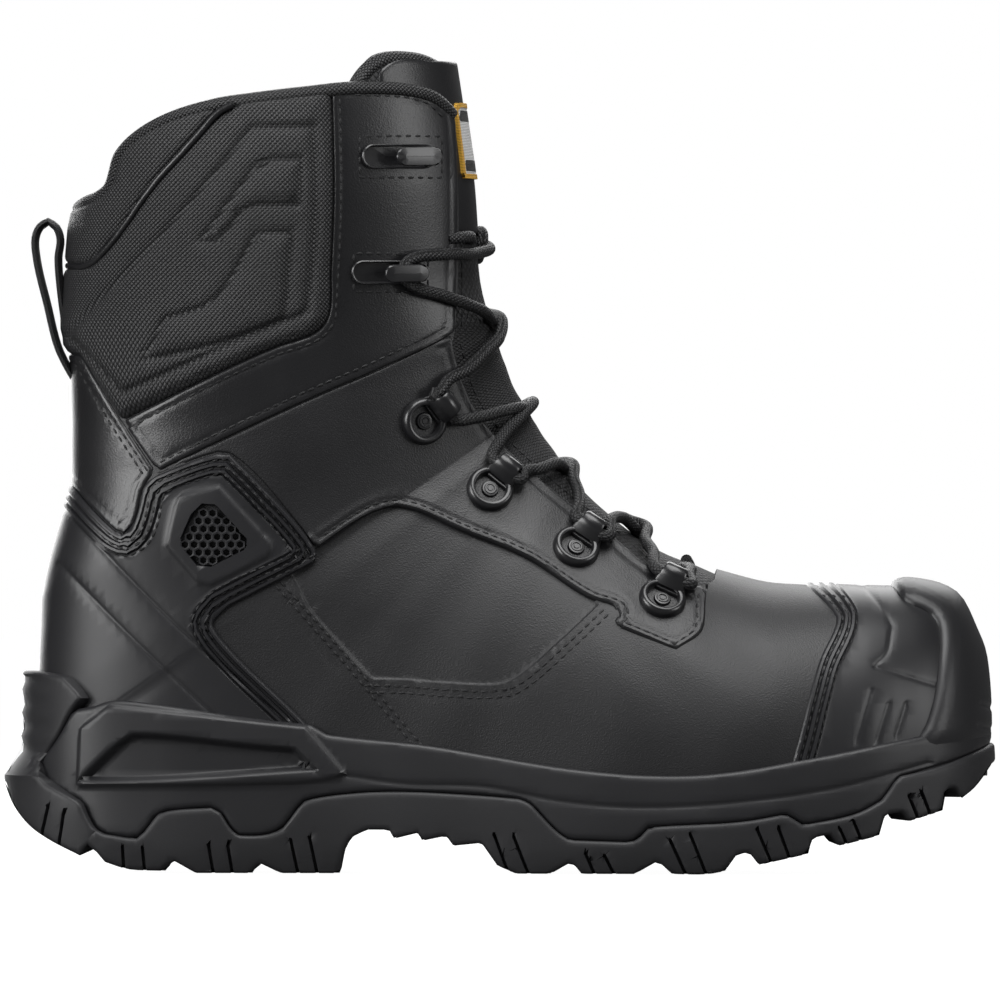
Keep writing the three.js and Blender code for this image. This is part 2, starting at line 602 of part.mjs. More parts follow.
function channels() {
  const spots = table(
    ["from", "to", "side"],
    [
      [0.5, 0.94, -0.2],
      [0.5, 0.94, 0.22],
      [0.05, 0.36, 0],
    ],
  );
  return spots.map(({ from, to, side }) => {
    const box = new THREE.BoxGeometry((to - from) * BOOT_LENGTH, CHANNEL_WIDTH, 2 * CHANNEL_DEPTH);
    box.translate(alongX((from + to) / 2), side * BALL_WIDTH, 0);
    return solidOf(box);
  });
}

function outsole() {
  const body = soleBlock(OUTSOLE_LEVELS, OUTSOLE_MARGIN, OUTSOLE_HEEL_MARGIN);
  const side = body.intersect(prism([...line(PARTING_LINE), ...line(TREAD_LINE), ...line(CUP_LINE)]));
  return channels()
    .reduce((solid, channel) => solid.subtract(channel), side)
    .subtract(lastRoom());
}

// What the rubber covers, grown by the gap that other pieces keep to it
function rubberCover() {
  const top = shifted(line([...CUP_LINE, ...RAND_LINE.slice(1)]), CLEARANCE);
  const low = -upZ(0.1);
  const sole = prism([
    new THREE.Vector2(alongX(-0.1), low),
    new THREE.Vector2(alongX(-0.1), top[0].y),
    ...top,
    new THREE.Vector2(alongX(1.1), top.at(-1).y),
    new THREE.Vector2(alongX(1.1), low),
  ]);
  const toe = prism([...shifted(line(BUMPER_EDGE), CLEARANCE), ...line(BUMPER_FRONT)]);
  return sole.add(toe);
}

// A layer on the upper inside a flat region, lifted off it and cut clear of the rubber
const cover = rubberCover();
function layer(flat, thickness, lift = CLEARANCE, low = -BALL_WIDTH, high = BALL_WIDTH) {
  return form(lift + thickness).subtract(form(lift)).intersect(through(flat, low, high)).subtract(cover);
}
const spot = (along, up) => new THREE.Vector2(alongX(along), upZ(up));
const half = CLEARANCE / 2;

// A raised border along the inside of a region's edge
function border(flat, thickness, width) {
  return layer(flat.subtract(flat.offset(-width, "Miter")), thickness);
}

function heelCounter() {
  const flat = region([...line(COUNTER_EDGE), spot(0.33, 0.1), spot(-0.02, 0.1)], -half);
  const raised = border(flat, COUNTER_THICKNESS + COUNTER_RIB, COUNTER_BORDER);
  const vent = layer(region(line(VENT_LINE)), COUNTER_THICKNESS + COUNTER_RIB);
  return layer(flat, COUNTER_THICKNESS).add(raised).add(vent);
}

function toeGuard() {
  const flat = region([...line(GUARD_EDGE), spot(1.02, 0.42), spot(1.02, 0.1)], -half);
  const rear = through(flat.offset(-GUARD_BORDER, "Miter"));
  const raised = layer(flat, GUARD_THICKNESS + GUARD_RIB).subtract(rear);
  return layer(flat, GUARD_THICKNESS).add(raised);
}

function backstay() {
  const foot = line(COUNTER_EDGE.filter((row) => row.along < 0.155));
  return layer(region([...line(BACKSTAY_EDGE), ...foot.reverse()], -half), BACKSTAY_THICKNESS);
}

function collar() {
  const top = line(COLLAR_LINE.filter((row) => row.along < 0.33));
  const back = line(BACKSTAY_EDGE.filter((row) => row.along < 0.12));
  return layer(region([...top, ...line(COLLAR_SEAM), ...back.reverse()], -half), COLLAR_PADDING);
}

const sides = [
  { name: "lateral", sign: -1, low: -BALL_WIDTH, high: 0 },
  { name: "medial", sign: 1, low: 0, high: BALL_WIDTH },
];

function facing({ low, high }) {
  const top = line(COLLAR_LINE.filter((row) => row.along > 0.34));
  const front = line(THROAT_LINE.slice(0, 2));
  const outline = [...top, ...front, ...line(FACING_EDGE), ...line(COLLAR_SEAM).reverse()];
  return layer(region(outline, -half), FACING_THICKNESS, CLEARANCE, low, high);
}

function eyestay({ low, high }) {
  const throat = line(THROAT_LINE.slice(2, -2));
  const behind = line(COUNTER_EDGE.filter((row) => row.along > 0.15 && row.up > 0.41));
  const outline = [...throat, ...line(QUARTER_EDGE), ...behind.reverse(), ...line(FACING_EDGE).reverse()];
  return layer(region(outline, -half), QUARTER_THICKNESS, CLEARANCE, low, high);
}

function tongueLabel() {
  return layer(region(line(LABEL_LINE)), LABEL_THICKNESS, -WALL, -LABEL_WIDTH / 2, LABEL_WIDTH / 2);
}

function pullLoop() {
  const thick = LOOP_THICKNESS / 2;
  const strap = shifted(line(LOOP_LINE), thick).concat(shifted(line(LOOP_LINE), -thick).reverse());
  return prism(strap, -LOOP_WIDTH / 2, LOOP_WIDTH / 2).subtract(form(2 * CLEARANCE + COLLAR_PADDING));
}

// Where a line from one side meets the grown upper: the point, and the way out from it
const faces = new Map();
function footing(offset, along, up, sign) {
  if (!faces.has(offset)) faces.set(offset, new THREE.Mesh(geometryOf(form(offset))));
  const from = new THREE.Vector3(alongX(along), 2 * sign * BALL_WIDTH, upZ(up));
  const hit = new THREE.Raycaster(from, new THREE.Vector3(0, -sign, 0)).intersectObject(faces.get(offset))[0];
  return { point: hit.point, normal: hit.face.normal.clone() };
}

// The place of an eyelet: its tab points along x, its bore along y and it stands up along z
function eyeletFrame(row, sign) {
  const { point, normal } = footing(CLEARANCE + QUARTER_THICKNESS, row.along, row.up, sign);
  const tab = new THREE.Vector3(row.tabAlong, 0, row.tabUp);
  tab.addScaledVector(normal, -tab.dot(normal)).normalize();
  const across = new THREE.Vector3().crossVectors(normal, tab);
  return new THREE.Matrix4().makeBasis(tab, across, normal).setPosition(point);
}
const BORE = LACE_DIAMETER / 2 + CLEARANCE + 0.2;
const BORE_UP = 3 * CLEARANCE + EYELET_HEIGHT + LACE_DIAMETER / 2;
const BORE_ALONG = TAB_REACH - TAB_WALL - BORE;

// One loop eyelet: a dished round plate with a rivet, and a tab that bridges the lace
function eyelet(row, sign) {
  const frame = eyeletFrame(row, sign);
  const disc = (radius, low, high) => {
    const round = new THREE.CylinderGeometry(radius, radius, high - low, EYELET_SIDES);
    return solidOf(round.rotateX(Math.PI / 2).translate(0, 0, (low + high) / 2));
  };
  const foot = CLEARANCE;
  const top = 2 * CLEARANCE + EYELET_HEIGHT;
  const plate = disc(EYELET_RADIUS, foot, top).subtract(disc(DISH_RADIUS, top - DISH_DEPTH, top + 1));
  const rivet = disc(DISH_RADIUS / 2, foot, top - DISH_DEPTH / 3);
  const start = BORE_ALONG - BORE - TAB_WALL;
  const height = BORE_UP + BORE + TAB_WALL - foot;
  const block = new THREE.BoxGeometry(TAB_REACH - start, TAB_WIDTH, height);
  const bridge = solidOf(block.translate((TAB_REACH + start) / 2, 0, foot + height / 2));
  const bore = new THREE.CylinderGeometry(BORE, BORE, 2 * TAB_WIDTH, EYELET_SIDES);
  const hole = solidOf(bore.translate(BORE_ALONG, 0, BORE_UP));
  const quarter = form(2 * CLEARANCE + QUARTER_THICKNESS);
  return plate.add(rivet).add(bridge).subtract(hole).transform(frame.elements).subtract(quarter);
}

// One hook: a plate on the facing and a bar in front of it, joined at the throat's side
function hook(row, { low, high }) {
  const place = (from, to, up) =>
    region([
      spot(row.along + from, row.up - up),
      spot(row.along + to, row.up - up),
      spot(row.along + to, row.up + up),
      spot(row.along + from, row.up + up),
    ]);
  const { along, up, bar } = HOOK_HALF;
  const seat = 2 * CLEARANCE + FACING_THICKNESS;
  const under = seat + HOOK_PLATE + HOOK_GAP;
  const plate = layer(place(-along, along, up), HOOK_PLATE, seat, low, high);
  const front = layer(place(-along / 8, along * 0.9, bar), HOOK_BAR, under, low, high);
  const post = layer(place(along * 0.68, along * 0.9, bar), under - seat + HOOK_BAR, seat, low, high);
  return plate.add(front).add(post);
}

// A round cord through points, with one ring of corners at each of them
function cord(points) {
  const rings = [];
  let side = new THREE.Vector3(0, 0, 1);
  points.forEach((point, i) => {
    const before = points[Math.max(0, i - 1)];
    const after = points[Math.min(points.length - 1, i + 1)];
    const into = point.clone().sub(before).normalize();
    const out = after.clone().sub(point).normalize();
    const ahead = into.add(out).normalize();
    side = side.clone().addScaledVector(ahead, -side.dot(ahead)).normalize();
    const up = new THREE.Vector3().crossVectors(ahead, side);
    for (let k = 0; k < LACE_SIDES; k++) {
      const angle = (k / LACE_SIDES) * 2 * Math.PI;
      const corner = point.clone().addScaledVector(side, (Math.cos(angle) * LACE_DIAMETER) / 2);
      rings.push(corner.addScaledVector(up, (Math.sin(angle) * LACE_DIAMETER) / 2));
    }
  });
  const triangles = [];
  const at = (i, k) => i * LACE_SIDES + (k % LACE_SIDES);
  for (let i = 0; i + 1 < points.length; i++)
    for (let k = 0; k < LACE_SIDES; k++)
      triangles.push(at(i, k), at(i, k + 1), at(i + 1, k + 1), at(i, k), at(i + 1, k + 1), at(i + 1, k));
  const last = points.length - 1;
  for (let k = 1; k + 1 < LACE_SIDES; k++)
    triangles.push(at(0, 0), at(0, k + 1), at(0, k), at(last, 0), at(last, k), at(last, k + 1));
  return solidFrom(rings.flatMap((point) => point.toArray()), triangles);
}

// One lace of the pair, as its points lie on its own side; the other lace is its mirror image
function laceHalf(mirror) {
  const seat = CLEARANCE + QUARTER_THICKNESS;
  const points = LACE_ROUTE.flatMap(({ along, up, side, lift, eyelet: number }) => {
    if (number) {
      const frame = eyeletFrame(EYELETS[number - 1], side * mirror);
      const run = [-1, 0, 1].map((end) => new THREE.Vector3(BORE_ALONG, end * 0.8 * TAB_WIDTH, BORE_UP));
      return run.map((point) => point.applyMatrix4(frame)).sort((a, b) => b.z - a.z);
    }
    if (side === 0) return [new THREE.Vector3(alongX(along), 0, upZ(up))];
    const { point, normal } = footing(seat, along, up, side * mirror);
    return [point.addScaledVector(normal, lift * LACE_DIAMETER)];
  });
  return cord(points);
}

// Adds a named mesh with its own material to the boot
const boot = new THREE.Group();
function part(name, solid, color, roughness, metalness = 0) {
  const material = new THREE.MeshStandardMaterial({ color, roughness, metalness });
  const made = new THREE.Mesh(geometryOf(solid), material);
  made.name = name;
  boot.add(made);
}

const RUBBER = 0x2f2f33;
const LEATHER = 0x2b2b2e;
const TEXTILE = 0x333335;
const PLASTIC = 0x3a3a3e;

part("outsole", outsole(), RUBBER, 0.65);
part("midsole", midsole(), RUBBER, 0.6);
part("insole", insole(), TEXTILE, 0.95);
part("upper", upper(), LEATHER, 0.55);
part("tongue", tongue(), TEXTILE, 0.9);
part("tongue_label", tongueLabel(), 0xf0952b, 0.5);
part("collar", collar(), TEXTILE, 0.9);
part("heel_counter", heelCounter(), RUBBER, 0.6);
part("toe_guard", toeGuard(), RUBBER, 0.6);
part("backstay", backstay(), LEATHER, 0.4);
part("pull_loop", pullLoop(), TEXTILE, 0.9);
for (const side of sides) {
  part("facing_" + side.name, facing(side), LEATHER, 0.55);
  part("eyestay_" + side.name, eyestay(side), LEATHER, 0.55);
  EYELETS.forEach((row, i) => part("eyelet_" + side.name + "_" + (i + 1), eyelet(row, side.sign), PLASTIC, 0.45));
  HOOKS.forEach((row, i) => part("hook_" + side.name + "_" + (i + 1), hook(row, side), PLASTIC, 0.45));
}
part("laces", laceHalf(1).add(laceHalf(-1)), TEXTILE, 0.85);

// The origin lies under the middle of the boot, on the floor
const box = new THREE.Box3().setFromObject(boot);
for (const mesh of boot.children)
  mesh.position.set(-(box.min.x + box.max.x) / 2, -(box.min.y + box.max.y) / 2, -box.min.z);

export default boot;
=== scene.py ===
"""Right safety boot: leather, padded textile, moulded rubber, laces and stitching round its solids."""
import math

import bpy
import numpy as np
from bpy.props import FloatProperty, FloatVectorProperty, PointerProperty
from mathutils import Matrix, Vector
from mathutils.bvhtree import BVHTree


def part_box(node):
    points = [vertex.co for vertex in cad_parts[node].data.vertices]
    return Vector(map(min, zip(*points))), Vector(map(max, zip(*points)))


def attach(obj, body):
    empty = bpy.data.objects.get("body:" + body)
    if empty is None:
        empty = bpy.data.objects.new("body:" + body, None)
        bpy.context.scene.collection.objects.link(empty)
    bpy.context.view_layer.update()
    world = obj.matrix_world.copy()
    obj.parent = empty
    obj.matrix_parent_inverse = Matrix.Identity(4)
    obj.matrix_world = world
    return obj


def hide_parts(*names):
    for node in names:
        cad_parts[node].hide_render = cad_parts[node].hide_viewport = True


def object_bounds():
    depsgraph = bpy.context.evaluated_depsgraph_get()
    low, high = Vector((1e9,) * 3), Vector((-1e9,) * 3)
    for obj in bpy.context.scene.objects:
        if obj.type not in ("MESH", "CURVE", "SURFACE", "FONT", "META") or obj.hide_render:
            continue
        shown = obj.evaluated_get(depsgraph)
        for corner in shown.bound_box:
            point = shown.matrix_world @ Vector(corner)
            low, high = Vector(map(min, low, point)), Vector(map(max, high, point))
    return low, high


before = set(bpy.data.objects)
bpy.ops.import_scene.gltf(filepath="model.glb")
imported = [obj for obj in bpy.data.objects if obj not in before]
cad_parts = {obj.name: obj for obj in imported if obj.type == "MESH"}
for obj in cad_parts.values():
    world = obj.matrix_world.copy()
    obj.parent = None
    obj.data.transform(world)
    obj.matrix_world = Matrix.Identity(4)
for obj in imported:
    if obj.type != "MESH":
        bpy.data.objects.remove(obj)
FRAME_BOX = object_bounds()

bl_info = {
    "name": "Safety boot",
    "version": (1, 0, 0),
    "blender": (4, 5, 0),
    "location": "3D View > Sidebar > Boot",
    "description": "Builds a lace-up safety boot round its packed solids",
    "category": "Object",
}

# Main sizes in millimetres, as in the solids
BOOT_LENGTH = 320
COLLAR_HEIGHT = 250
BALL_WIDTH = 104
HEEL_WIDTH = 75
SHAFT_WIDTH = 94
WALL = 2.4
MIDSOLE_MARGIN = 4.6
MIDSOLE_HEEL_MARGIN = 7.5
OUTSOLE_MARGIN = 6
OUTSOLE_HEEL_MARGIN = 13.3
UNDERLAP = -0.4
FAR_OUT = 200

# The side drawing: a thousand units over the boot's length, y downwards with the floor at its own line
UNIT = BOOT_LENGTH / 1000
FLOOR_LINE = 873
MIDDLE_LINE = 500

# One row for each section of the upper, as in the solids: ridge and base are its ends in the side view, as shares of
# length and height; widths are shares of the width that it follows; front and back are the powers of its two
# rounded parts and widest is where it is widest
SECTIONS = np.array([
    [0.982, 0.177, 0.982, 0.124, 0.106, -0.1, 0.112, -0.102, 0.11, 2, 2, 0.8],
    [0.981, 0.221, 0.981, 0.124, 0.099, -0.023, 0.175, -0.026, 0.172, 2.1, 2, 0.8],
    [0.977, 0.273, 0.977, 0.123, 0.09, 0.071, 0.25, 0.066, 0.245, 2.2, 2, 0.8],
    [0.967, 0.308, 0.967, 0.12, 0.079, 0.178, 0.332, 0.172, 0.326, 2.2, 2, 0.8],
    [0.951, 0.346, 0.951, 0.117, 0.068, 0.27, 0.397, 0.263, 0.39, 2.2, 2, 0.8],
    [0.93, 0.357, 0.93, 0.111, 0.058, 0.336, 0.436, 0.328, 0.428, 2.25, 2, 0.8],
    [0.905, 0.361, 0.905, 0.105, 0.049, 0.381, 0.458, 0.372, 0.449, 2.3, 2, 0.8],
    [0.87, 0.362, 0.87, 0.099, 0.04, 0.435, 0.481, 0.424, 0.47, 2.3, 2, 0.8],
    [0.77, 0.368, 0.77, 0.09, 0.03, 0.512, 0.488, 0.498, 0.474, 2.15, 2, 0.79],
    [0.72, 0.385, 0.72, 0.09, 0.03, 0.525, 0.471, 0.51, 0.456, 2, 2, 0.78],
    [0.64, 0.442, 0.64, 0.096, 0.029, 0.51, 0.423, 0.494, 0.408, 1.8, 2, 0.77],
    [0.611, 0.472, 0.56, 0.108, 0.025, 0.499, 0.413, 0.491, 0.386, 1.75, 2, 0.74],
    [0.588, 0.5, 0.48, 0.123, 0.018, 0.511, 0.433, 0.494, 0.383, 1.7, 2, 0.69],
    [0.571, 0.529, 0.4, 0.135, 0.01, 0.533, 0.477, 0.508, 0.409, 1.65, 2, 0.63],
    [0.56, 0.55, 0.32, 0.142, 0.005, 0.538, 0.518, 0.515, 0.454, 1.65, 2.1, 0.59],
    [0.55, 0.567, 0.24, 0.148, 0, 0.524, 0.52, 0.5, 0.473, 1.65, 2.2, 0.56],
    [0.544, 0.58, 0.17, 0.151, 0, 0.52, 0.52, 0.483, 0.477, 1.65, 2.3, 0.55],
    [0.54, 0.588, 0.12, 0.152, 0, 0.52, 0.52, 0.44, 0.44, 1.65, 2.4, 0.54],
    [0.538, 0.593, 0.08, 0.152, 0, 0.52, 0.52, 0.355, 0.355, 1.65, 2.4, 0.54],
    [0.535, 0.599, 0.046, 0.152, 0, 0.52, 0.52, 0.115, 0.115, 1.65, 2.4, 0.54],
    [0.534, 0.602, 0.0435, 0.152, 0, 0.52, 0.52, 0.02, 0.02, 1.65, 2.4, 0.54],
    [0.531, 0.608, 0.0425, 0.205, 0, 0.52, 0.52, 0, 0, 1.65, 2.4, 0.54],
    [0.521, 0.629, 0.047, 0.349, 0, 0.488, 0.488, 0, 0, 1.7, 2.4, 0.54],
    [0.514, 0.654, 0.074, 0.503, 0, 0.441, 0.441, 0, 0, 1.7, 2.3, 0.53],
    [0.51, 0.667, 0.074, 0.567, 0, 0.431, 0.431, 0, 0, 1.7, 2.3, 0.52],
    [0.503, 0.697, 0.071, 0.695, 0, 0.438, 0.438, 0, 0, 1.75, 2.3, 0.52],
    [0.489, 0.759, 0.075, 0.759, 0, 0.457, 0.457, 0, 0, 1.8, 2.3, 0.52],
    [0.481, 0.887, 0.08, 0.887, 0, 0.495, 0.495, 0, 0, 1.9, 2.3, 0.52],
    [0.474, 0.951, 0.081, 0.951, 0, 0.5, 0.5, 0, 0, 1.95, 2.3, 0.52],
    [0.46, 1.07, 0.083, 1.07, 0, 0.5, 0.5, 0, 0, 2, 2.3, 0.52],
])
(RIDGE_ALONG, RIDGE_UP, BASE_ALONG, BASE_UP, RIDGE_SIDE, LATERAL, MEDIAL, BASE_LATERAL, BASE_MEDIAL, FRONT, BACK,
 WIDEST) = range(12)
ROW_GAP = 2.9
FRONT_STEPS = 36
BACK_STEPS = 26

# Insets of the rubber's sides by height: share of COLLAR_HEIGHT, share of the heel's margin, share of the side's
MIDSOLE_LEVELS = [[0.01, 0.95, 0.8], [0.06, 1, 1], [0.13, 1, 1], [0.21, 0.98, 0.85], [0.3, 0.95, 0.5]]
OUTSOLE_LEVELS = [
    [-0.01, 0.8, 0.55], [0.035, 0.92, 0.9], [0.09, 1, 1], [0.125, 1, 1], [0.152, 0.6, 0.9], [0.27, 0.54, 0.8],
]

# Lines of the side drawing
PARTING_LINE = [
    (71, 710), (55, 738), (36, 763), (36, 774), (45, 784), (80, 802), (86, 816), (94, 829), (104, 834), (136, 839),
    (144, 832), (157, 814), (166, 811), (211, 807), (221, 812), (232, 829), (239, 835), (259, 835), (271, 833),
    (283, 828), (303, 801), (313, 798), (362, 792), (403, 791), (485, 795), (520, 798), (530, 803), (558, 832),
    (569, 839), (630, 841), (638, 837), (648, 826), (662, 825), (744, 820), (785, 813), (803, 824), (858, 812),
    (883, 799), (899, 776), (940, 766), (985, 750), (999, 744),
]
TREAD_LINE = [
    (998, 752), (993, 767), (975, 789), (962, 799), (956, 787), (946, 789), (942, 811), (908, 821), (902, 811),
    (884, 814), (878, 835), (838, 845), (829, 833), (811, 837), (807, 853), (758, 864), (748, 851), (736, 853),
    (724, 870), (707, 873), (671, 873), (657, 860), (634, 873), (581, 873), (571, 861), (550, 873), (515, 873),
    (497, 865), (481, 842), (453, 845), (446, 835), (422, 840), (418, 832), (394, 838), (389, 829), (367, 829),
    (351, 837), (344, 850), (340, 873), (281, 873), (258, 862), (253, 873), (196, 873), (171, 859), (166, 871),
    (127, 869), (105, 862), (89, 843), (80, 856), (48, 840), (29, 827), (13, 808), (2, 785), (6, 773), (19, 751),
    (22, 735), (21, 723), (24, 706), (21, 693),
]
CUP_LINE = [(32, 672), (60, 676), (73, 688), (82, 697)]
RAND_LINE = [
    (80, 708), (93, 706), (106, 701), (116, 700), (166, 705), (240, 716), (311, 724), (328, 734), (354, 737),
    (424, 744), (485, 754), (558, 766), (601, 771), (642, 774), (693, 774), (744, 769), (795, 760), (840, 752),
    (889, 742), (925, 735), (970, 725), (999, 716),
]
BUMPER_EDGE = [
    (905, 755), (922, 727), (931, 699), (936, 661), (937, 636), (934, 623), (927, 616), (914, 610), (902, 603),
    (894, 591), (886, 585), (877, 580), (877, 545),
]
HEEL_PANEL = [(78, 786), (81, 728), (110, 706), (306, 726), (346, 773), (325, 779), (259, 783)]
HEEL_RECESS = [
    (78, 781), (123, 739), (133, 733), (150, 733), (259, 744), (296, 747), (319, 770), (110, 782),
]
SIPES = [
    ((123, 846), (125, 880)), ((143, 847), (146, 880)), ((209, 844), (215, 880)), ((228, 843), (234, 880)),
    ((291, 839), (300, 880)), ((310, 837), (319, 880)), ((494, 833), (511, 880)), ((513, 834), (531, 880)),
    ((585, 852), (597, 880)), ((604, 854), (617, 880)), ((669, 838), (688, 880)), ((689, 832), (708, 880)),
    ((756, 828), (774, 870)), ((777, 826), (791, 864)), ((838, 826), (848, 848)), ((852, 819), (862, 844)),
    ((908, 795), (920, 824)), ((921, 791), (932, 820)), ((48, 806), (40, 840)), ((64, 812), (58, 850)),
]

# Top of the shaft and edge of the throat
COLLAR_LINE = [
    (30, 204), (74, 204), (102, 194), (112, 185), (121, 156), (134, 140), (166, 120), (217, 104), (249, 99),
    (306, 92), (354, 87), (414, 90), (434, 97), (450, 112),
]
THROAT_LINE = [
    (453, 134), (453, 331), (451, 343), (461, 381), (472, 406), (495, 438), (525, 468), (567, 504), (610, 537),
    (638, 561), (680, 586), (700, 589), (714, 582), (720, 560),
]
TONGUE_LINE = [
    (356, 100), (360, 79), (370, 67), (385, 54), (405, 50), (440, 54), (453, 61), (500, 68), (560, 326), (740, 521),
    (735, 599), (680, 611), (600, 572), (500, 506), (430, 435), (400, 342), (400, 209),
]

# Edges of what is laid on the upper
COUNTER_EDGE = [
    (-20, 477), (66, 477), (79, 492), (95, 510), (109, 524), (120, 533), (127, 536), (134, 529), (140, 511),
    (145, 488), (152, 478), (199, 459), (225, 452), (231, 454), (299, 526), (316, 550), (319, 556), (314, 563),
    (223, 610), (212, 623), (220, 636), (303, 719), (330, 748),
]
BACKSTAY_EDGE = [(-20, 352), (62, 352), (83, 354), (112, 402), (124, 421), (156, 470)]
COLLAR_FOLD = [(71, 265), (96, 265), (108, 255), (159, 185), (198, 140), (223, 112), (234, 106)]
PIPING_RADIUS = 1.1
COLLAR_SEAM = [
    (331, 89), (333, 191), (330, 271), (327, 319), (319, 330), (274, 348), (223, 371), (124, 421),
]
FACING_EDGE = [(451, 333), (383, 367), (319, 395), (217, 443), (159, 472)]
QUARTER_EDGE = [
    (709, 583), (705, 604), (704, 624), (701, 633), (675, 652), (616, 627), (614, 622), (621, 612), (616, 608),
    (592, 600), (527, 559), (457, 530), (411, 510), (388, 508), (322, 545),
]
GUARD_EDGE = [
    (790, 795), (791, 759), (796, 741), (808, 694), (818, 661), (835, 626), (836, 620), (830, 611), (815, 596),
    (804, 585), (804, 545),
]
SIDE_PANEL = [
    (284, 560), (318, 548), (388, 506), (411, 508), (457, 528), (527, 557), (600, 603), (558, 642), (513, 679),
    (505, 682), (444, 682), (407, 679), (364, 678), (330, 640),
]
STRAP = [(265, 583), (284, 577), (352, 654), (427, 743), (428, 770), (400, 770), (332, 668)]
VENT_FRAME = [(179, 496), (220, 486), (273, 544), (271, 556), (210, 587), (201, 585), (167, 545)]
VENT_FIELD = [(199, 505), (216, 506), (249, 543), (247, 547), (206, 568), (200, 565), (182, 542)]
LOOP_LINE = [
    (72, 378), (64, 364), (56, 347), (45, 304), (34, 256), (33, 236), (38, 225), (46, 220), (54, 226), (58, 238),
    (56, 256), (58, 286), (65, 338),
]

# Loop eyelets and hooks of one side, top first; an eyelet's tab points along its own direction
EYELETS = [
    ((422, 421), (0.79, 0.61)), ((489, 491), (0.62, 0.78)), ((575, 550), (0.56, 0.83)), ((661, 602), (0.42, 0.91)),
]
HOOKS = [(401, 157), (391, 272)]
# A hook's parts as (half length, half height, lift over the last) steps
HOOK_HOUSING = (
    (11.4, 3.9, 1.0), (11.4, 3.9, 2.9), (11.1, 3.6, 3.2), (10.8, 3.3, 3.1), (10.5, 3.0, 2.2), (4, 0.05, 2.2),
)
HOOK_BAR = (
    (4, 0.05, 7.2), (6.2, 2.7, 7.2), (6.4, 3.0, 7.5), (6.4, 3.0, 8.2), (6.1, 2.7, 8.6), (4.5, 1.2, 8.75),
    (4, 0.05, 8.8),
)
HOOK_POST = ((1.5, 2.8, 2.0), (1.5, 2.9, 7.4))

LABEL_HALF_WIDTH = 15.5
LABEL_RIM = 1.5

# The lace of one side from the half knot down to the lowest bar: a spot of the side drawing, which side of the boot
# it lies on (0 over the middle) and how high its middle lies over the last
LACE_ROUTE = [
    ((446, 239), -1, 0.6), ((456, 237), -1, 1.6), ((467, 236), -1, 0.8), ((479, 239), 0, 0), ((483, 248), 0, 0),
    ((470, 253), -1, 1.5), ((448, 253), -1, 3.8), ((429, 254), -1, 5.2), ((410, 256), -1, 5.2),
    ((400, 261), -1, 5.2), ((396, 270), -1, 5.2), ((400, 280), -1, 5.2), ((412, 288), -1, 5.2),
    ((436, 296), -1, 4.6), ((461, 305), -1, 3.0), ((482, 312), -1, 1.0), ((498, 322), 0, 0), ((497, 337), 1, 0.8),
    ((480, 353), 1, 1.8), ((462, 370), 1, 3.4), ((442, 380), 1, 4.6), ((430, 393), 1, 5.0), "eyelet 1",
    ((466, 419), 1, 4.4), ((495, 413), 1, 2.2), ((518, 408), 1, 0.8), ((530, 405), 0, 0), ((518, 419), -1, 1.0),
    ((507, 431), -1, 1.8), ((496, 447), -1, 3.6), "eyelet 2", ((520, 477), -1, 4.0), ((536, 472), -1, 2.0),
    ((556, 464), -1, 0.6), ((570, 468), 0, 0), ((573, 480), 1, 0.5), ((575, 498), 1, 2.4), ((574, 513), 1, 4.0),
    "eyelet 3", ((606, 528), 1, 3.6), ((620, 521), 1, 1.5), ((632, 521), 1, 0.3), ((643, 530), 0, 0),
    ((645, 541), -1, 0.5), ((650, 558), -1, 2.6), "eyelet 4", ((686, 583), -1, 3.0), ((690, 572), -1, 1.0),
    ((684, 564), 0, 0),
]
# How far the upper and the lower lace pass in front of and behind their common middle
CROSSING_LIFT = 1.6

# Stitched rows: a line of the side drawing and how far beside it the row runs
COUNTER_FRONT = [p for p in COUNTER_EDGE if 100 < p[0] < 321 and p[1] < 700]
SEAMS = [
    (FACING_EDGE, 2.6), (COLLAR_SEAM[:4], -2.8), (COLLAR_SEAM[3:], -2.6),
    (QUARTER_EDGE, 2.5),
    (THROAT_LINE[2:12], -2.9), (THROAT_LINE[:2], -2.8),
    (SIDE_PANEL[6:13], -2.2), (SIDE_PANEL[6:13], -4.3),
    (STRAP[1:4], 1.6), (STRAP[1:4], 3.6),
    (COUNTER_FRONT, 2.2),
    (COUNTER_FRONT, 4.3),
    (COUNTER_FRONT, 6.5),
    (BACKSTAY_EDGE[2:], 2.4), (BACKSTAY_EDGE[2:], 4.2),
    (GUARD_EDGE[1:10], 2.2), (GUARD_EDGE[1:10], 4.4), (GUARD_EDGE[1:10], 6.6),
    (COLLAR_LINE[10:], 2.8),
    ([(360, 137), (360, 178), (442, 178), (442, 136), (360, 137)], 0),
    ([(354, 254), (354, 292), (428, 292), (428, 254), (354, 254)], 0),
]

# Corners that turn more than this stay sharp, in degrees: of sewn pieces, of moulded rubber, and none
SEWN_CORNER = 42
SOLE_CORNER = 17
NO_CORNER = 179

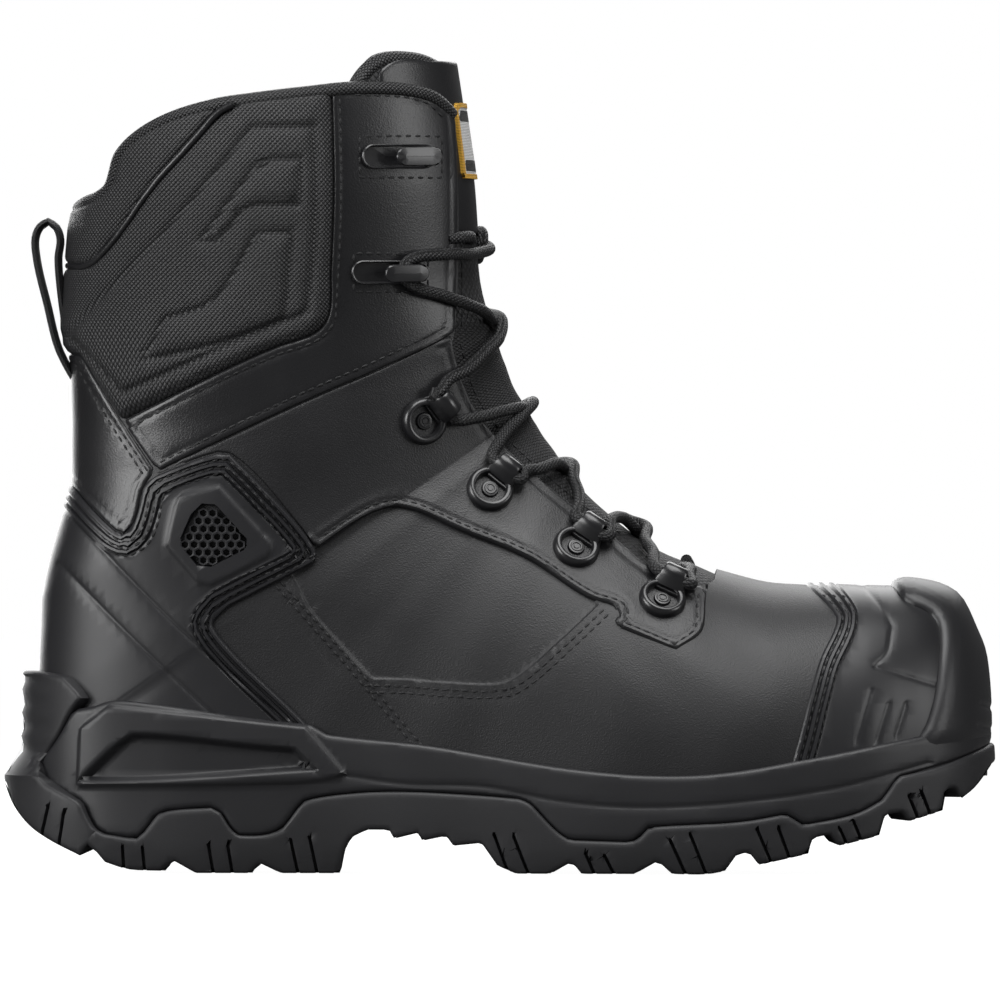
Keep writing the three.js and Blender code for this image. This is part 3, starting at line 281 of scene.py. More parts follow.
# Lines of the collar's relief, the counter's bands, the guard's grooves, the bumper's grooves and the midsole's crease
COLLAR_FOOT = [(112, 402), (83, 354), (62, 352), (-20, 352)]
PAD_EDGE = [(76, 335), (179, 220), (255, 128), (312, 128), (314, 225), (306, 312), (262, 331), (128, 392)]
SHAPE_LOW = [(150, 360), (215, 345), (285, 318), (292, 232), (258, 232), (214, 300), (168, 318)]
SHAPE_HIGH = [(203, 240), (262, 160), (300, 160), (300, 205), (248, 205), (222, 240)]
COUNTER_BANDS = [[(65, 508), (191, 638), (288, 718)], [(64, 565), (134, 638), (215, 715)]]
GUARD_CURVES = [[(849, 575), (878, 606), (891, 629), (884, 656), (873, 666)], [(873, 668), (940, 688)]]
GUARD_FINS = [[(869, 691), (854, 742)], [(886, 704), (874, 742)], [(904, 704), (893, 737)]]
BUMPER_GROOVES = [[(970, 706), (998, 715)], [(968, 727), (998, 736)]]
MIDSOLE_CREASE = [
    (346, 775), (403, 783), (485, 786), (560, 800), (640, 806), (744, 800), (840, 786), (930, 762),
]
TONGUE_LEATHER = [
    (383, 70), (400, 60), (440, 59), (560, 56), (560, 232), (452, 232), (452, 104), (383, 104),
]
TONGUE_RIM = [(358, 100), (361, 80), (371, 67), (385, 55), (405, 51), (440, 55), (452, 62)]
LABEL_AREA = [(430, 90), (520, 90), (520, 190), (430, 190)]
LABEL_TOP, LABEL_FOOT = 101, 177

# Where outlines close, clear of the boot
OVER_OPENING = [(720, -60), (-60, -60), (-60, 204)]
UNDER_COUNTER = [(330, 795), (-20, 795)]
BEYOND_GUARD = [(1030, 545), (1030, 795)]
BEYOND_BUMPER = [(1030, 545), (1030, 820), (905, 820)]
BEYOND_TOE = [(1020, 744), (1020, 752)]
BEYOND_HEEL = [(-30, 785), (-30, 672)]

# Heights over the distance from an edge, as (distance, height) steps
EDGE_STEPS = ((0, 0.35), (0.25, 0.75), (0.7, 0.95), (1.5, 1.0))
COLLAR_STEPS = ((0, 0.9), (0.8, 2.0), (3, 3.4), (8, 4.2), (20, 4.6))
COUNTER_STEPS = (
    (0, 0.9), (0.3, 1.9), (0.8, 2.3), (1.5, 2.3), (1.9, 1.5), (2.5, 1.5), (2.9, 2.6), (3.6, 2.6), (4.0, 1.6),
    (4.6, 1.6), (5.0, 2.7), (5.7, 2.7), (6.1, 1.7), (6.9, 2.2), (7.6, 2.1), (60, 2.1),
)
GUARD_STEPS = (
    (0, 0.5), (0.3, 1.2), (0.8, 1.6), (1.5, 1.6), (1.9, 0.9), (2.5, 0.9), (2.9, 1.8), (3.7, 1.8), (4.1, 1.0),
    (4.7, 1.0), (5.1, 1.9), (5.9, 1.9), (6.3, 1.1), (6.9, 1.6), (7.4, 1.5), (60, 1.5),
)
MIDSOLE_STEPS = ((0, -1.4), (0.4, -0.6), (1.1, -0.12), (2.2, 0))
BUMPER_STEPS = ((0, 1.6), (0.3, 2.6), (0.8, 3.3), (1.6, 3.9), (2.8, 4.3), (4.2, 4.5))
OUTSOLE_STEPS = ((0, -1.0), (0.35, -0.4), (0.9, -0.08), (1.8, 0))
TONGUE_STEPS = ((0, -5.5), (0.8, -4.3), (2, -3.6), (4, -3.0), (7, -2.8))

# Finishes: effect, colour or its property, roughness and its swing, bump strength, values of the effect, and coat
FINISHES = {
    "nubuck": ("leather", "leather_colour", 0.5, 0.12, 0.6, {"Cell Scale": 2200}, 0.0),
    "panel_leather": ("leather", "leather_colour", 0.44, 0.12, 0.6, {"Cell Scale": 2200}, 0.0),
    "smooth_leather": ("leather", "leather_colour", 0.36, 0.1, 0.4, {"Cell Scale": 1900}, 0.1),
    "outsole_rubber": ("rubber", "rubber_colour", 0.55, 0.1, 0.3, {}, 0.0),
    "midsole_rubber": ("rubber", "rubber_colour", 0.46, 0.08, 0.18, {}, 0.0),
    "moulded_rubber": ("rubber", "rubber_colour", 0.42, 0.08, 0.2, {}, 0.0),
    "collar_textile": ("weave", "textile_colour", 0.5, 0.1, 1.0, {"Yarn Pitch": 0.0015, "Slant": 1.0}, 0.0),
    "tongue_textile": ("weave", "textile_colour", 0.7, 0.1, 1.0, {"Yarn Pitch": 0.0026, "Slant": 1.0}, 0.0),
    "lining": ("weave", "textile_colour", 0.9, 0.1, 0.6, {"Yarn Pitch": 0.0009}, 0.0),
    "webbing": ("weave", "textile_colour", 0.6, 0.1, 0.8, {"Yarn Pitch": 0.0012, "Slant": 1.0}, 0.0),
    "lace": ("weave", "lace_colour", 0.55, 0.1, 1.0, {"Yarn Pitch": 0.0013, "Slant": 0.7}, 0.0),
    "plastic": ("rubber", "plastic_colour", 0.3, 0.06, 0.05, {}, 0.2),
    "thread": ("weave", "thread_colour", 0.6, 0.1, 0.2, {"Yarn Pitch": 0.0004}, 0.0),
    "label_border": ("weave", "label_colour", 0.6, 0.1, 0.4, {"Yarn Pitch": 0.0005}, 0.0),
    "label_block": ("weave", (0.02, 0.02, 0.02), 0.6, 0.1, 0.4, {"Yarn Pitch": 0.0005}, 0.0),
    "label_field": ("weave", (0.75, 0.75, 0.73), 0.6, 0.1, 0.4, {"Yarn Pitch": 0.0005}, 0.0),
}
RELIEF_DEPTH = {"leather": 0.00012, "rubber": 0.00008, "weave": 0.0003}
# How far a mask swings the base colour: a slow cloud of tone on leather and rubber, painted highlight on the yarn tops
# and painted shade between the yarns on the weave
TONE_AND_PAINTED_LIGHT_SWING = {"leather": 0.3, "rubber": 0.3, "weave": 0.9}


class FrameShift:
    """The solids stand centred; this is how far they moved from the side drawing's own middle."""

    low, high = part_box("pull_loop")
    side = (low.y + high.y) / 2
    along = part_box("facing_lateral")[1].x - ((THROAT_LINE[0][0] - MIDDLE_LINE) * UNIT - 0.15) / 1000


def drawn(points):
    """Points of the side drawing in millimetres."""
    grid = np.asarray(points, float)
    return np.column_stack([(grid[:, 0] - MIDDLE_LINE) * UNIT, (FLOOR_LINE - grid[:, 1]) * UNIT])


def smooth_step(low, high, value):
    share = np.clip((value - low) / (high - low), 0, 1)
    return share * share * (3 - 2 * share)


def eased(points, step=1.6, closed=False, corner=SEWN_CORNER):
    """A smooth line through drawn points that keeps its sharp corners."""
    p = np.asarray(points, float)
    count = len(p)
    ahead = np.roll(p, -1, 0) - p
    length = np.linalg.norm(ahead, axis=1)
    out = ahead / np.maximum(length, 1e-9)[:, None]
    into = np.roll(out, 1, 0)
    turn = np.degrees(np.arccos(np.clip((into * out).sum(1), -1, 1)))
    sharp = turn > corner
    if not closed:
        sharp[[0, -1]] = True
    middle = into + out
    middle /= np.maximum(np.linalg.norm(middle, axis=1), 1e-9)[:, None]
    line = []
    for i in range(count if closed else count - 1):
        j = (i + 1) % count
        first = (out[i] if sharp[i] else middle[i]) * length[i]
        last = (out[i] if sharp[j] else middle[j]) * length[i]
        steps = max(1, round(length[i] / step))
        for t in np.arange(steps) / steps:
            line.append(
                p[i] * (2 * t**3 - 3 * t**2 + 1) + first * (t**3 - 2 * t**2 + t)
                + p[j] * (3 * t**2 - 2 * t**3) + last * (t**3 - t**2)
            )
    if not closed:
        line.append(p[-1])
    return np.array(line)


def monotone(knots, values, wanted):
    """A smooth curve through values that never swings past them (Fritsch and Carlson's slopes)."""
    gap = np.diff(knots)
    slope = np.diff(values) / gap
    tangent = np.zeros(len(values))
    before, after = slope[:-1], slope[1:]
    same = before * after > 0
    weight_a, weight_b = 2 * gap[1:] + gap[:-1], gap[1:] + 2 * gap[:-1]
    inner = np.zeros(len(before))
    inner[same] = (weight_a + weight_b)[same] / (
        weight_a[same] / before[same] + weight_b[same] / after[same]
    )
    tangent[1:-1] = inner
    tangent[0], tangent[-1] = slope[0], slope[-1]
    spot = np.clip(np.searchsorted(knots, wanted, side="right") - 1, 0, len(gap) - 1)
    t = (wanted - knots[spot]) / gap[spot]
    return (
        values[spot] * (2 * t**3 - 3 * t**2 + 1) + tangent[spot] * gap[spot] * (t**3 - 2 * t**2 + t)
        + values[spot + 1] * (3 * t**2 - 2 * t**3) + tangent[spot + 1] * gap[spot] * (t**3 - t**2)
    )


def base_width(rows):
    return HEEL_WIDTH + (BALL_WIDTH - HEEL_WIDTH) * smooth_step(0.3, 0.65, rows[:, BASE_ALONG])


def dense_rows():
    """The sections with smooth ones added between them, no further apart than the row gap."""
    size = np.array([BOOT_LENGTH, COLLAR_HEIGHT])
    ends = [np.linalg.norm(np.diff(SECTIONS[:, pair] * size, axis=0), axis=1)
            for pair in ([RIDGE_ALONG, RIDGE_UP], [BASE_ALONG, BASE_UP])]
    counts = np.maximum(2, np.ceil(np.maximum(*ends) / ROW_GAP)).astype(int)
    wanted = np.concatenate([i + np.arange(n) / n for i, n in enumerate(counts)] + [[len(SECTIONS) - 1]])
    knots = np.arange(len(SECTIONS), dtype=float)
    return np.column_stack([monotone(knots, SECTIONS[:, i], wanted) for i in range(SECTIONS.shape[1])])


def half_section(rows, sign, wide, foot):
    """One side of every section from its ridge to its foot, as a rows by steps grid of points."""

    def along(share):
        return (rows[:, [RIDGE_ALONG]] * (1 - share) + rows[:, [BASE_ALONG]] * share - 0.5) * BOOT_LENGTH

    def up(share):
        return (rows[:, [RIDGE_UP]] * (1 - share) + rows[:, [BASE_UP]] * share) * COLLAR_HEIGHT

    base = base_width(rows)
    closed = (rows[:, BASE_LATERAL] < 1e-6) & (rows[:, BASE_ALONG] < 0.3)
    shaft = HEEL_WIDTH + (SHAFT_WIDTH - HEEL_WIDTH) * smooth_step(0.2, 0.65, rows[:, BASE_UP])
    middle = np.where(closed, shaft, base)
    power_front, power_back = 2 / rows[:, [FRONT]], 2 / rows[:, [BACK]]
    ridge = (rows[:, RIDGE_SIDE] * middle)[:, None]
    widest = rows[:, [WIDEST]]
    reach_out = (sign * wide * middle)[:, None]
    angle = np.linspace(0, math.pi / 2, FRONT_STEPS + 1)[None, :]
    share = widest * (1 - np.maximum(np.cos(angle), 0) ** power_front)
    side = ridge + (reach_out - ridge) * np.sin(angle) ** power_front
    front = np.stack([along(share), side, up(share)], -1)
    flat = np.abs(wide * middle) < 0.5
    ratio = np.where(flat, 1, np.clip(foot * base / np.where(flat, 1, wide * middle), 0, 1))
    end = np.maximum(0.01, np.arccos(ratio ** (rows[:, BACK] / 2)))[:, None]
    angle = np.linspace(0, 1, BACK_STEPS + 1)[None, 1:] * end
    share = widest + (1 - widest) * (np.sin(angle) / np.sin(end)) ** power_back
    side = reach_out * np.maximum(np.cos(angle), 0) ** power_back
    side[:, -1] = sign * foot * base
    return np.concatenate([front, np.stack([along(share), side, up(share)], -1)], 1)


def grid_triangles(rows, columns, closed=False):
    across = columns if closed else columns - 1
    i, j = np.meshgrid(np.arange(rows - 1), np.arange(across), indexing="ij")
    a, b = i * columns + j, i * columns + (j + 1) % columns
    c, d = b + columns, a + columns
    return np.concatenate([np.stack([a, d, c], -1).reshape(-1, 3), np.stack([a, c, b], -1).reshape(-1, 3)])


def corner_normals(points, triangles, twins=None):
    """Area-weighted normals of points; twins names another point whose faces count too."""
    a, b, c = (points[triangles[:, k]] for k in range(3))
    face = np.cross(b - a, c - a)
    total = np.zeros_like(points)
    for k in range(3):
        np.add.at(total, triangles[:, k], face)
    if twins is not None:
        total[twins[:, 0]] += total[twins[:, 1]]
        total[twins[:, 1]] = total[twins[:, 0]]
    size = np.linalg.norm(total, axis=1)
    total[size < 1e-12] = (1, 0, 0)
    return total / np.linalg.norm(total, axis=1)[:, None]


# Columns of a sheet's table: place, way out, place in the side view and place on the rolled-out sheet
PLACE, OUT, SIDE_VIEW, ROLLED = slice(0, 3), slice(3, 6), [0, 2], slice(6, 8)
FIELDS_START = 8


def last_sheet():
    """The outside of the upper as a dense sheet."""
    rows = dense_rows()
    lateral = half_section(rows, -1, rows[:, LATERAL], rows[:, BASE_LATERAL])
    medial = half_section(rows, 1, rows[:, MEDIAL], rows[:, BASE_MEDIAL])
    grid = np.concatenate([lateral[:, ::-1], medial[:, 1:]], 1)
    tip = grid[:1].copy()
    tip[..., 1] = grid[0, :, 1].mean()
    grid = np.concatenate([tip, grid])
    count, columns = grid.shape[:2]
    around = np.zeros((count, columns))
    around[:, 1:] = np.cumsum(np.linalg.norm(np.diff(grid, axis=1), axis=2), 1)
    around -= around[:, [columns // 2]]
    down = np.zeros((count, columns))
    down[1:] = np.cumsum(np.linalg.norm(np.diff(grid, axis=0), axis=2).mean(1))[:, None]
    points = grid.reshape(-1, 3)
    triangles = grid_triangles(count, columns)
    shut = np.nonzero((np.abs(grid[:, 0, 1]) < 0.05) & (grid[:, 0, 0] < 0))[0]
    twins = np.stack([shut * columns, shut * columns + columns - 1], -1)
    normals = corner_normals(points, triangles, twins)
    inside = points - np.array([0, 0, 60])
    if (normals * inside).sum(1).mean() < 0:
        normals, triangles = -normals, triangles[:, ::-1]
    normals[:columns] = (1, 0, 0)
    return np.column_stack([points, normals, around.ravel(), down.ravel()]), triangles


def outline_gap(points, outline):
    """How far points of the side view lie inside a closed outline, negative outside."""
    start, end = outline, np.roll(outline, -1, 0)
    found = np.empty(len(points))
    for low in range(0, len(points), 20000):
        p = points[low:low + 20000, None, :]
        along = end - start
        share = ((p - start) * along).sum(2) / np.maximum((along**2).sum(1), 1e-12)
        foot = start + np.clip(share, 0, 1)[..., None] * along
        near = np.sqrt(((p - foot) ** 2).sum(2).min(1))
        above = (start[:, 1] > p[..., 1]) != (end[:, 1] > p[..., 1])
        rise = np.where(np.abs(along[:, 1]) < 1e-12, 1e-12, along[:, 1])
        cross = start[:, 0] + (p[..., 1] - start[:, 1]) / rise * along[:, 0]
        inside = (above & (p[..., 0] < cross)).sum(1) % 2 == 1
        found[low:low + 20000] = np.where(inside, near, -near)
    return found


def line_gap(points, line):
    """How far points of the side view lie to the left of an open line, negative on its right."""
    start, along = line[:-1], np.diff(line, axis=0)
    found = np.empty(len(points))
    for low in range(0, len(points), 20000):
        p = points[low:low + 20000, None, :]
        share = ((p - start) * along).sum(2) / np.maximum((along**2).sum(1), 1e-12)
        reach = p - start - np.clip(share, 0, 1)[..., None] * along
        away = np.sqrt((reach**2).sum(2))
        nearest = away.argmin(1)[:, None]
        left = along[:, 0] * reach[..., 1] - along[:, 1] * reach[..., 0]
        side = np.where(np.take_along_axis(left, nearest, 1)[:, 0] < 0, -1, 1)
        found[low:low + 20000] = np.take_along_axis(away, nearest, 1)[:, 0] * side
    return found


def nearest_gap(points, lines):
    """The gap to the nearest of several lines."""
    gaps = np.array([line_gap(points, line) for line in lines])
    return np.take_along_axis(gaps, np.abs(gaps).argmin(0)[None], 0)[0]


def split(table, triangles, column, level):
    """Cuts the triangles of a sheet along the line where a field has a level."""
    value = table[:, column] - level
    value[np.abs(value) < 0.02] = 0
    table[value == 0, column] = level
    sign = np.sign(value)[triangles]
    crossing = (sign.min(1) < 0) & (sign.max(1) > 0)
    kept, cut, sign = triangles[~crossing], triangles[crossing], sign[crossing]
    if not len(cut):
        return table, triangles
    on_line = (sign == 0).any(1)
    alone = -np.sign(sign.sum(1))
    first = np.where(on_line, (sign == 0).argmax(1), (sign == alone[:, None]).argmax(1))
    cut = np.take_along_axis(cut, (first[:, None] + np.arange(3)) % 3, 1)
    a, b, c = cut[:, 0], cut[:, 1], cut[:, 2]
    pairs = np.concatenate([
        np.stack([b[on_line], c[on_line]], -1),
        np.stack([a[~on_line], b[~on_line]], -1),
        np.stack([a[~on_line], c[~on_line]], -1),
    ])
    edges, spot = np.unique(np.sort(pairs, 1), axis=0, return_inverse=True)
    spot = spot.ravel()
    share = value[edges[:, 0]] / (value[edges[:, 0]] - value[edges[:, 1]])
    fresh = table[edges[:, 0]] * (1 - share)[:, None] + table[edges[:, 1]] * share[:, None]
    fresh[:, column] = level
    fresh[:, OUT] /= np.linalg.norm(fresh[:, OUT], axis=1)[:, None]
    spot = spot + len(table)
    ones, twos = on_line.sum(), (~on_line).sum()
    m, p, q = spot[:ones], spot[ones:ones + twos], spot[ones + twos:]
    za, zb, zc = a[on_line], b[on_line], c[on_line]
    la, lb, lc = a[~on_line], b[~on_line], c[~on_line]
    made = [
        np.stack([za, zb, m], -1), np.stack([za, m, zc], -1),
        np.stack([la, p, q], -1), np.stack([p, lb, lc], -1), np.stack([p, lc, q], -1),
    ]
    return np.concatenate([table, fresh]), np.concatenate([kept] + made)


def trimmed(table, triangles, column, level):
    """Only the part of a sheet where a field is over a level, with a clean edge."""
    table, triangles = split(table, triangles, column, level)
    triangles = triangles[table[triangles, column].mean(1) > level]
    used, spot = np.unique(triangles, return_inverse=True)
    return table[used], spot.reshape(-1, 3)


def with_fields(table, *fields):
    return np.column_stack([table, *fields])


def shell(table, triangles, high, low):
    """Points and faces of a closed shell between two heights over a sheet, and how many faces lie on top."""
    count = len(table)
    high, low = np.broadcast_to(high, count)[:, None], np.broadcast_to(low, count)[:, None]
    points = np.concatenate([table[:, PLACE] + table[:, OUT] * high, table[:, PLACE] + table[:, OUT] * low])
    edges = np.concatenate([triangles[:, [0, 1]], triangles[:, [1, 2]], triangles[:, [2, 0]]])
    code = edges[:, 0] * count + edges[:, 1]
    back = edges[:, 1] * count + edges[:, 0]
    rim = edges[~np.isin(code, back)]
    a, b = rim[:, 0], rim[:, 1]
    walls = np.concatenate([np.stack([b, a, a + count], -1), np.stack([b, a + count, b + count], -1)])
    faces = np.concatenate([triangles, triangles[:, ::-1] + count, walls])
    return points, faces, len(triangles)


def metres(points):
    return np.asarray(points) / 1000 + np.array([FrameShift.along, FrameShift.side, 0])


def made(name, points, faces, material, rolled=None, sharp=38, second=None, top=None):
    """A piece from millimetre points and faces, riding on the boot's one body."""
    mesh = bpy.data.meshes.new(name)
    points = metres(points)
    if isinstance(faces, np.ndarray):
        mesh.vertices.add(len(points))
        mesh.vertices.foreach_set("co", points.ravel())
        mesh.loops.add(faces.size)
        mesh.loops.foreach_set("vertex_index", faces.ravel())
        mesh.polygons.add(len(faces))
        mesh.polygons.foreach_set("loop_start", np.arange(len(faces)) * faces.shape[1])
    else:
        mesh.from_pydata(points.tolist(), [], faces)
    if second is not None:
        which = np.ones(len(mesh.polygons), int)
        which[:top] = 0
        mesh.polygons.foreach_set("material_index", which)
    mesh.update(calc_edges=True)
    mesh.validate()
    mesh.polygons.foreach_set("use_smooth", np.ones(len(mesh.polygons), bool))
    mesh.set_sharp_from_angle(angle=math.radians(sharp))
    if rolled is not None:
        layer = mesh.uv_layers.new(name="rolled")
        spots = np.empty(len(mesh.loops), int)
        mesh.loops.foreach_get("vertex_index", spots)
        layer.data.foreach_set("uv", (rolled[spots % len(rolled)] / 1000).ravel())
    mesh.materials.append(material)
    if second is not None:
        mesh.materials.append(second)
    piece = bpy.data.objects.new(name, mesh)
    bpy.context.scene.collection.objects.link(piece)
    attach(piece, "root")
    return piece


def cover(name, table, triangles, high, low, finish, **extra):
    points, faces, top = shell(table, triangles, high, low)
    return made(name, points, faces, Finish.get(finish), rolled=table[:, ROLLED], top=top, **extra)


def profile(gap, steps):
    """A height over the distance from an edge, through (distance, height) steps."""
    x, y = zip(*steps)
    return np.interp(gap, x, y)


def cuts(steps):
    """The distances of a profile's steps, where a sheet is split to carry them."""
    return [distance for distance, _ in steps if 0 < distance < 50]


def groove(gap, at, width, depth):
    return -depth * np.exp(-(((gap - at) / width) ** 2))


def heading(path):
    """Which way a line of points goes at each of them."""
    ahead = np.gradient(path, axis=0)
    return ahead / np.linalg.norm(ahead, axis=1)[:, None]


def run_along(path):
    """How far along a line each of its points lies."""
    return np.concatenate([[0], np.cumsum(np.linalg.norm(np.diff(path, axis=0), axis=1))])


def ring_faces(rings, size, start=0, flipped=False):
    """The quads between rings of points that follow one another."""
    faces = []
    for ring in range(rings - 1):
        for k in range(size):
            a, b = start + ring * size + k, start + ring * size + (k + 1) % size
            faces.append((a, a + size, b + size, b) if flipped else (a, b, b + size, a + size))
    return faces


def dressed(piece, slot, *nodes):
    """Hides the solids that a piece stands for; its slot is not used."""
    if nodes:
        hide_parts(*nodes)
    return piece


def field(table, index):
    return table[:, FIELDS_START + index]


def height_group():
    """Node groups for the finishes: each puts out a height and a mask that change over the surface."""
    groups = {}

    def start(name, inputs):
        group = bpy.data.node_groups.new(name, "ShaderNodeTree")
        for label, value in inputs:
            socket = group.interface.new_socket(label, in_out="INPUT", socket_type="NodeSocketFloat")
            socket.default_value = value
        for label in ("Height", "Mask"):
            group.interface.new_socket(label, in_out="OUTPUT", socket_type="NodeSocketFloat")
        return group, group.nodes.new("NodeGroupInput"), group.nodes.new("NodeGroupOutput")

    def node(group, kind, **values):
        new = group.nodes.new(kind)
        for key, value in values.items():
            setattr(new, key, value)
        return new

    def math_node(group, operation, first, second=None):
        new = node(group, "ShaderNodeMath", operation=operation)
        for i, value in enumerate((first, second)):
            if isinstance(value, (int, float)):
                new.inputs[i].default_value = value
            elif value is not None:
                group.links.new(value, new.inputs[i])
        return new.outputs[0]

    def noise(group, place, scale, detail=2):
        new = node(group, "ShaderNodeTexNoise")
        new.inputs["Detail"].default_value = detail
        group.links.new(place, new.inputs["Vector"])
        group.links.new(scale, new.inputs["Scale"])
        return new.outputs["Fac"]

    # Leather: small rounded cells with fine creases, and a slow cloud for wear and handling
    group, enter, leave = start("leather_grain", [("Cell Scale", 900), ("Cloud Scale", 25)])
    place = node(group, "ShaderNodeTexCoord").outputs["Object"]
    cells = node(group, "ShaderNodeTexVoronoi", feature="SMOOTH_F1")
    group.links.new(place, cells.inputs["Vector"])
    group.links.new(enter.outputs["Cell Scale"], cells.inputs["Scale"])
    fine = noise(group, place, enter.outputs["Cell Scale"], 6)
    height = math_node(group, "ADD", cells.outputs["Distance"], fine)
    group.links.new(height, leave.inputs["Height"])
    group.links.new(noise(group, place, enter.outputs["Cloud Scale"], 4), leave.inputs["Mask"])
    groups["leather"] = group

    # Rubber: a fine even spark-eroded texture
    group, enter, leave = start("rubber_texture", [("Grain Scale", 2600), ("Cloud Scale", 18)])
    place = node(group, "ShaderNodeTexCoord").outputs["Object"]
    group.links.new(noise(group, place, enter.outputs["Grain Scale"], 3), leave.inputs["Height"])
    group.links.new(noise(group, place, enter.outputs["Cloud Scale"]), leave.inputs["Mask"])
    groups["rubber"] = group

    # Basket weave of thick yarns on the rolled-out sheet; its mask tints the colour, painting highlights on the yarn
    # tops and shade between the yarns
    group, enter, leave = start("basket_weave", [("Yarn Pitch", 0.0011), ("Slant", 0.0)])
    rolled = node(group, "ShaderNodeUVMap", uv_map="rolled")
    parts = node(group, "ShaderNodeSeparateXYZ")
    group.links.new(rolled.outputs["UV"], parts.inputs["Vector"])
    slanted = math_node(group, "MULTIPLY", parts.outputs["Y"], enter.outputs["Slant"])
    across = math_node(group, "ADD", parts.outputs["X"], slanted)
    slanted = math_node(group, "MULTIPLY", parts.outputs["X"], enter.outputs["Slant"])
    upward = math_node(group, "SUBTRACT", parts.outputs["Y"], slanted)
    turns = []
    for value in (across, upward):
        turn = math_node(group, "DIVIDE", value, enter.outputs["Yarn Pitch"])
        turns.append(math_node(group, "MULTIPLY", turn, math.pi))
    waves = [math_node(group, "SINE", turn) for turn in turns]
    both = math_node(group, "MULTIPLY", waves[0], waves[1])
    bumps = math_node(group, "ABSOLUTE", both)
    knots = math_node(group, "POWER", bumps, 0.6)
    sides = math_node(group, "MULTIPLY", both, 0.12)
    group.links.new(math_node(group, "ADD", knots, sides), leave.inputs["Height"])
    # The mask is 1 on the yarn tops and 0 in the gaps; as a tint it paints highlights on the tops and shade in the
    # gaps
    group.links.new(bumps, leave.inputs["Mask"])
    groups["weave"] = group
    return groups


class Finish:
    """Every material of the boot, built once."""

    groups = {}
    made = {}

    @classmethod
    def get(cls, name):
        if not cls.groups:
            cls.groups = height_group()
        if name not in cls.made:
            cls.made[name] = cls.build(name)
        return cls.made[name]

    @classmethod
    def build(cls, name):
        kind, base, rough, rough_swing, bump, values, coat = FINISHES[name]
        if isinstance(base, str):
            base = getattr(bpy.context.scene.boot_look, base)
        material = bpy.data.materials.new(name)
        material.use_nodes = True
        tree = material.node_tree
        shader = tree.nodes["Principled BSDF"]
        effect = tree.nodes.new("ShaderNodeGroup")
        effect.node_tree = cls.groups[kind]
        for label, value in values.items():
            effect.inputs[label].default_value = value
        # The effect's mask tints the base colour; on the weave this paints highlights on the yarn tops and shade
        # between the yarns
        tint = tree.nodes.new("ShaderNodeMix")
        tint.data_type = "RGBA"
        swing = TONE_AND_PAINTED_LIGHT_SWING[kind]
        tint.inputs["A"].default_value = tuple(v * (1 - swing) for v in base) + (1,)
        tint.inputs["B"].default_value = tuple(min(1, v * (1 + swing)) for v in base) + (1,)
        tree.links.new(effect.outputs["Mask"], tint.inputs["Factor"])
        tree.links.new(tint.outputs["Result"], shader.inputs["Base Color"])
        spread = tree.nodes.new("ShaderNodeMapRange")
        spread.inputs["From Min"].default_value = 0.2
        spread.inputs["From Max"].default_value = 0.8
        spread.inputs["To Min"].default_value = rough - rough_swing / 2
        spread.inputs["To Max"].default_value = rough + rough_swing / 2
        tree.links.new(effect.outputs["Mask"], spread.inputs["Value"])
        tree.links.new(spread.outputs["Result"], shader.inputs["Roughness"])
        relief = tree.nodes.new("ShaderNodeBump")
        relief.inputs["Strength"].default_value = bump
        relief.inputs["Distance"].default_value = RELIEF_DEPTH[kind]
        tree.links.new(effect.outputs["Height"], relief.inputs["Height"])
        tree.links.new(relief.outputs["Normal"], shader.inputs["Normal"])
        shader.inputs["Coat Weight"].default_value = coat
        shader.inputs["Coat Roughness"].default_value = 0.25
        return material


class Cache:
    """The dense last and the surfaces that stitches are laid on."""

    last = None
    skins = []

    @classmethod
    def sheet(cls):
        if cls.last is None:
            cls.last = last_sheet()
        table, triangles = cls.last
        return table.copy(), triangles.copy()


def fitted(outline, step=1.8, corner=SEWN_CORNER):
    return eased(drawn(outline), step, closed=True, corner=corner)


def near(table, triangles, outline, margin):
    """The part of a sheet whose side view lies within an outline's box and a margin."""
    low, high = outline.min(0) - margin, outline.max(0) + margin
    inside = ((table[:, SIDE_VIEW] > low) & (table[:, SIDE_VIEW] < high)).all(1)
    triangles = triangles[inside[triangles].all(1)]
    used, spot = np.unique(triangles, return_inverse=True)
    return table[used], spot.reshape(-1, 3)


def patch(outline, levels, lines=(), corner=SEWN_CORNER):
    """The last inside an outline: gap to its edge is the first field, gaps to lines follow."""
    edge = fitted(outline, corner=corner)
    table, triangles = near(*Cache.sheet(), edge, 6)
    table = with_fields(table, outline_gap(table[:, SIDE_VIEW], edge))
    table, triangles = trimmed(table, triangles, FIELDS_START, 0)
    for level in levels:
        table, triangles = split(table, triangles, FIELDS_START, level)
    for i, (line, line_levels) in enumerate(lines):
        points = table[:, SIDE_VIEW]
        table = with_fields(table, line_gap(points, eased(drawn(line), 1.8)))
        for level in both_sides(line_levels):
            table, triangles = split(table, triangles, FIELDS_START + 1 + i, level)
    for i, (line, _) in enumerate(lines):
        table[:, FIELDS_START + 1 + i] = line_gap(table[:, SIDE_VIEW], eased(drawn(line), 1.8))
    return table, triangles


def both_sides(levels):
    return [-level for level in levels[::-1]] + [0, *levels]


def side_of(table, triangles, sign):
    """The half of a sheet on one side of the boot."""
    triangles = triangles[(table[triangles, 1] * sign).mean(1) > 0]
    used, spot = np.unique(triangles, return_inverse=True)
    return table[used], spot.reshape(-1, 3)


def remember(piece):
    """Keeps a piece among the surfaces that stitches are laid on."""
    Cache.skins.append(piece)


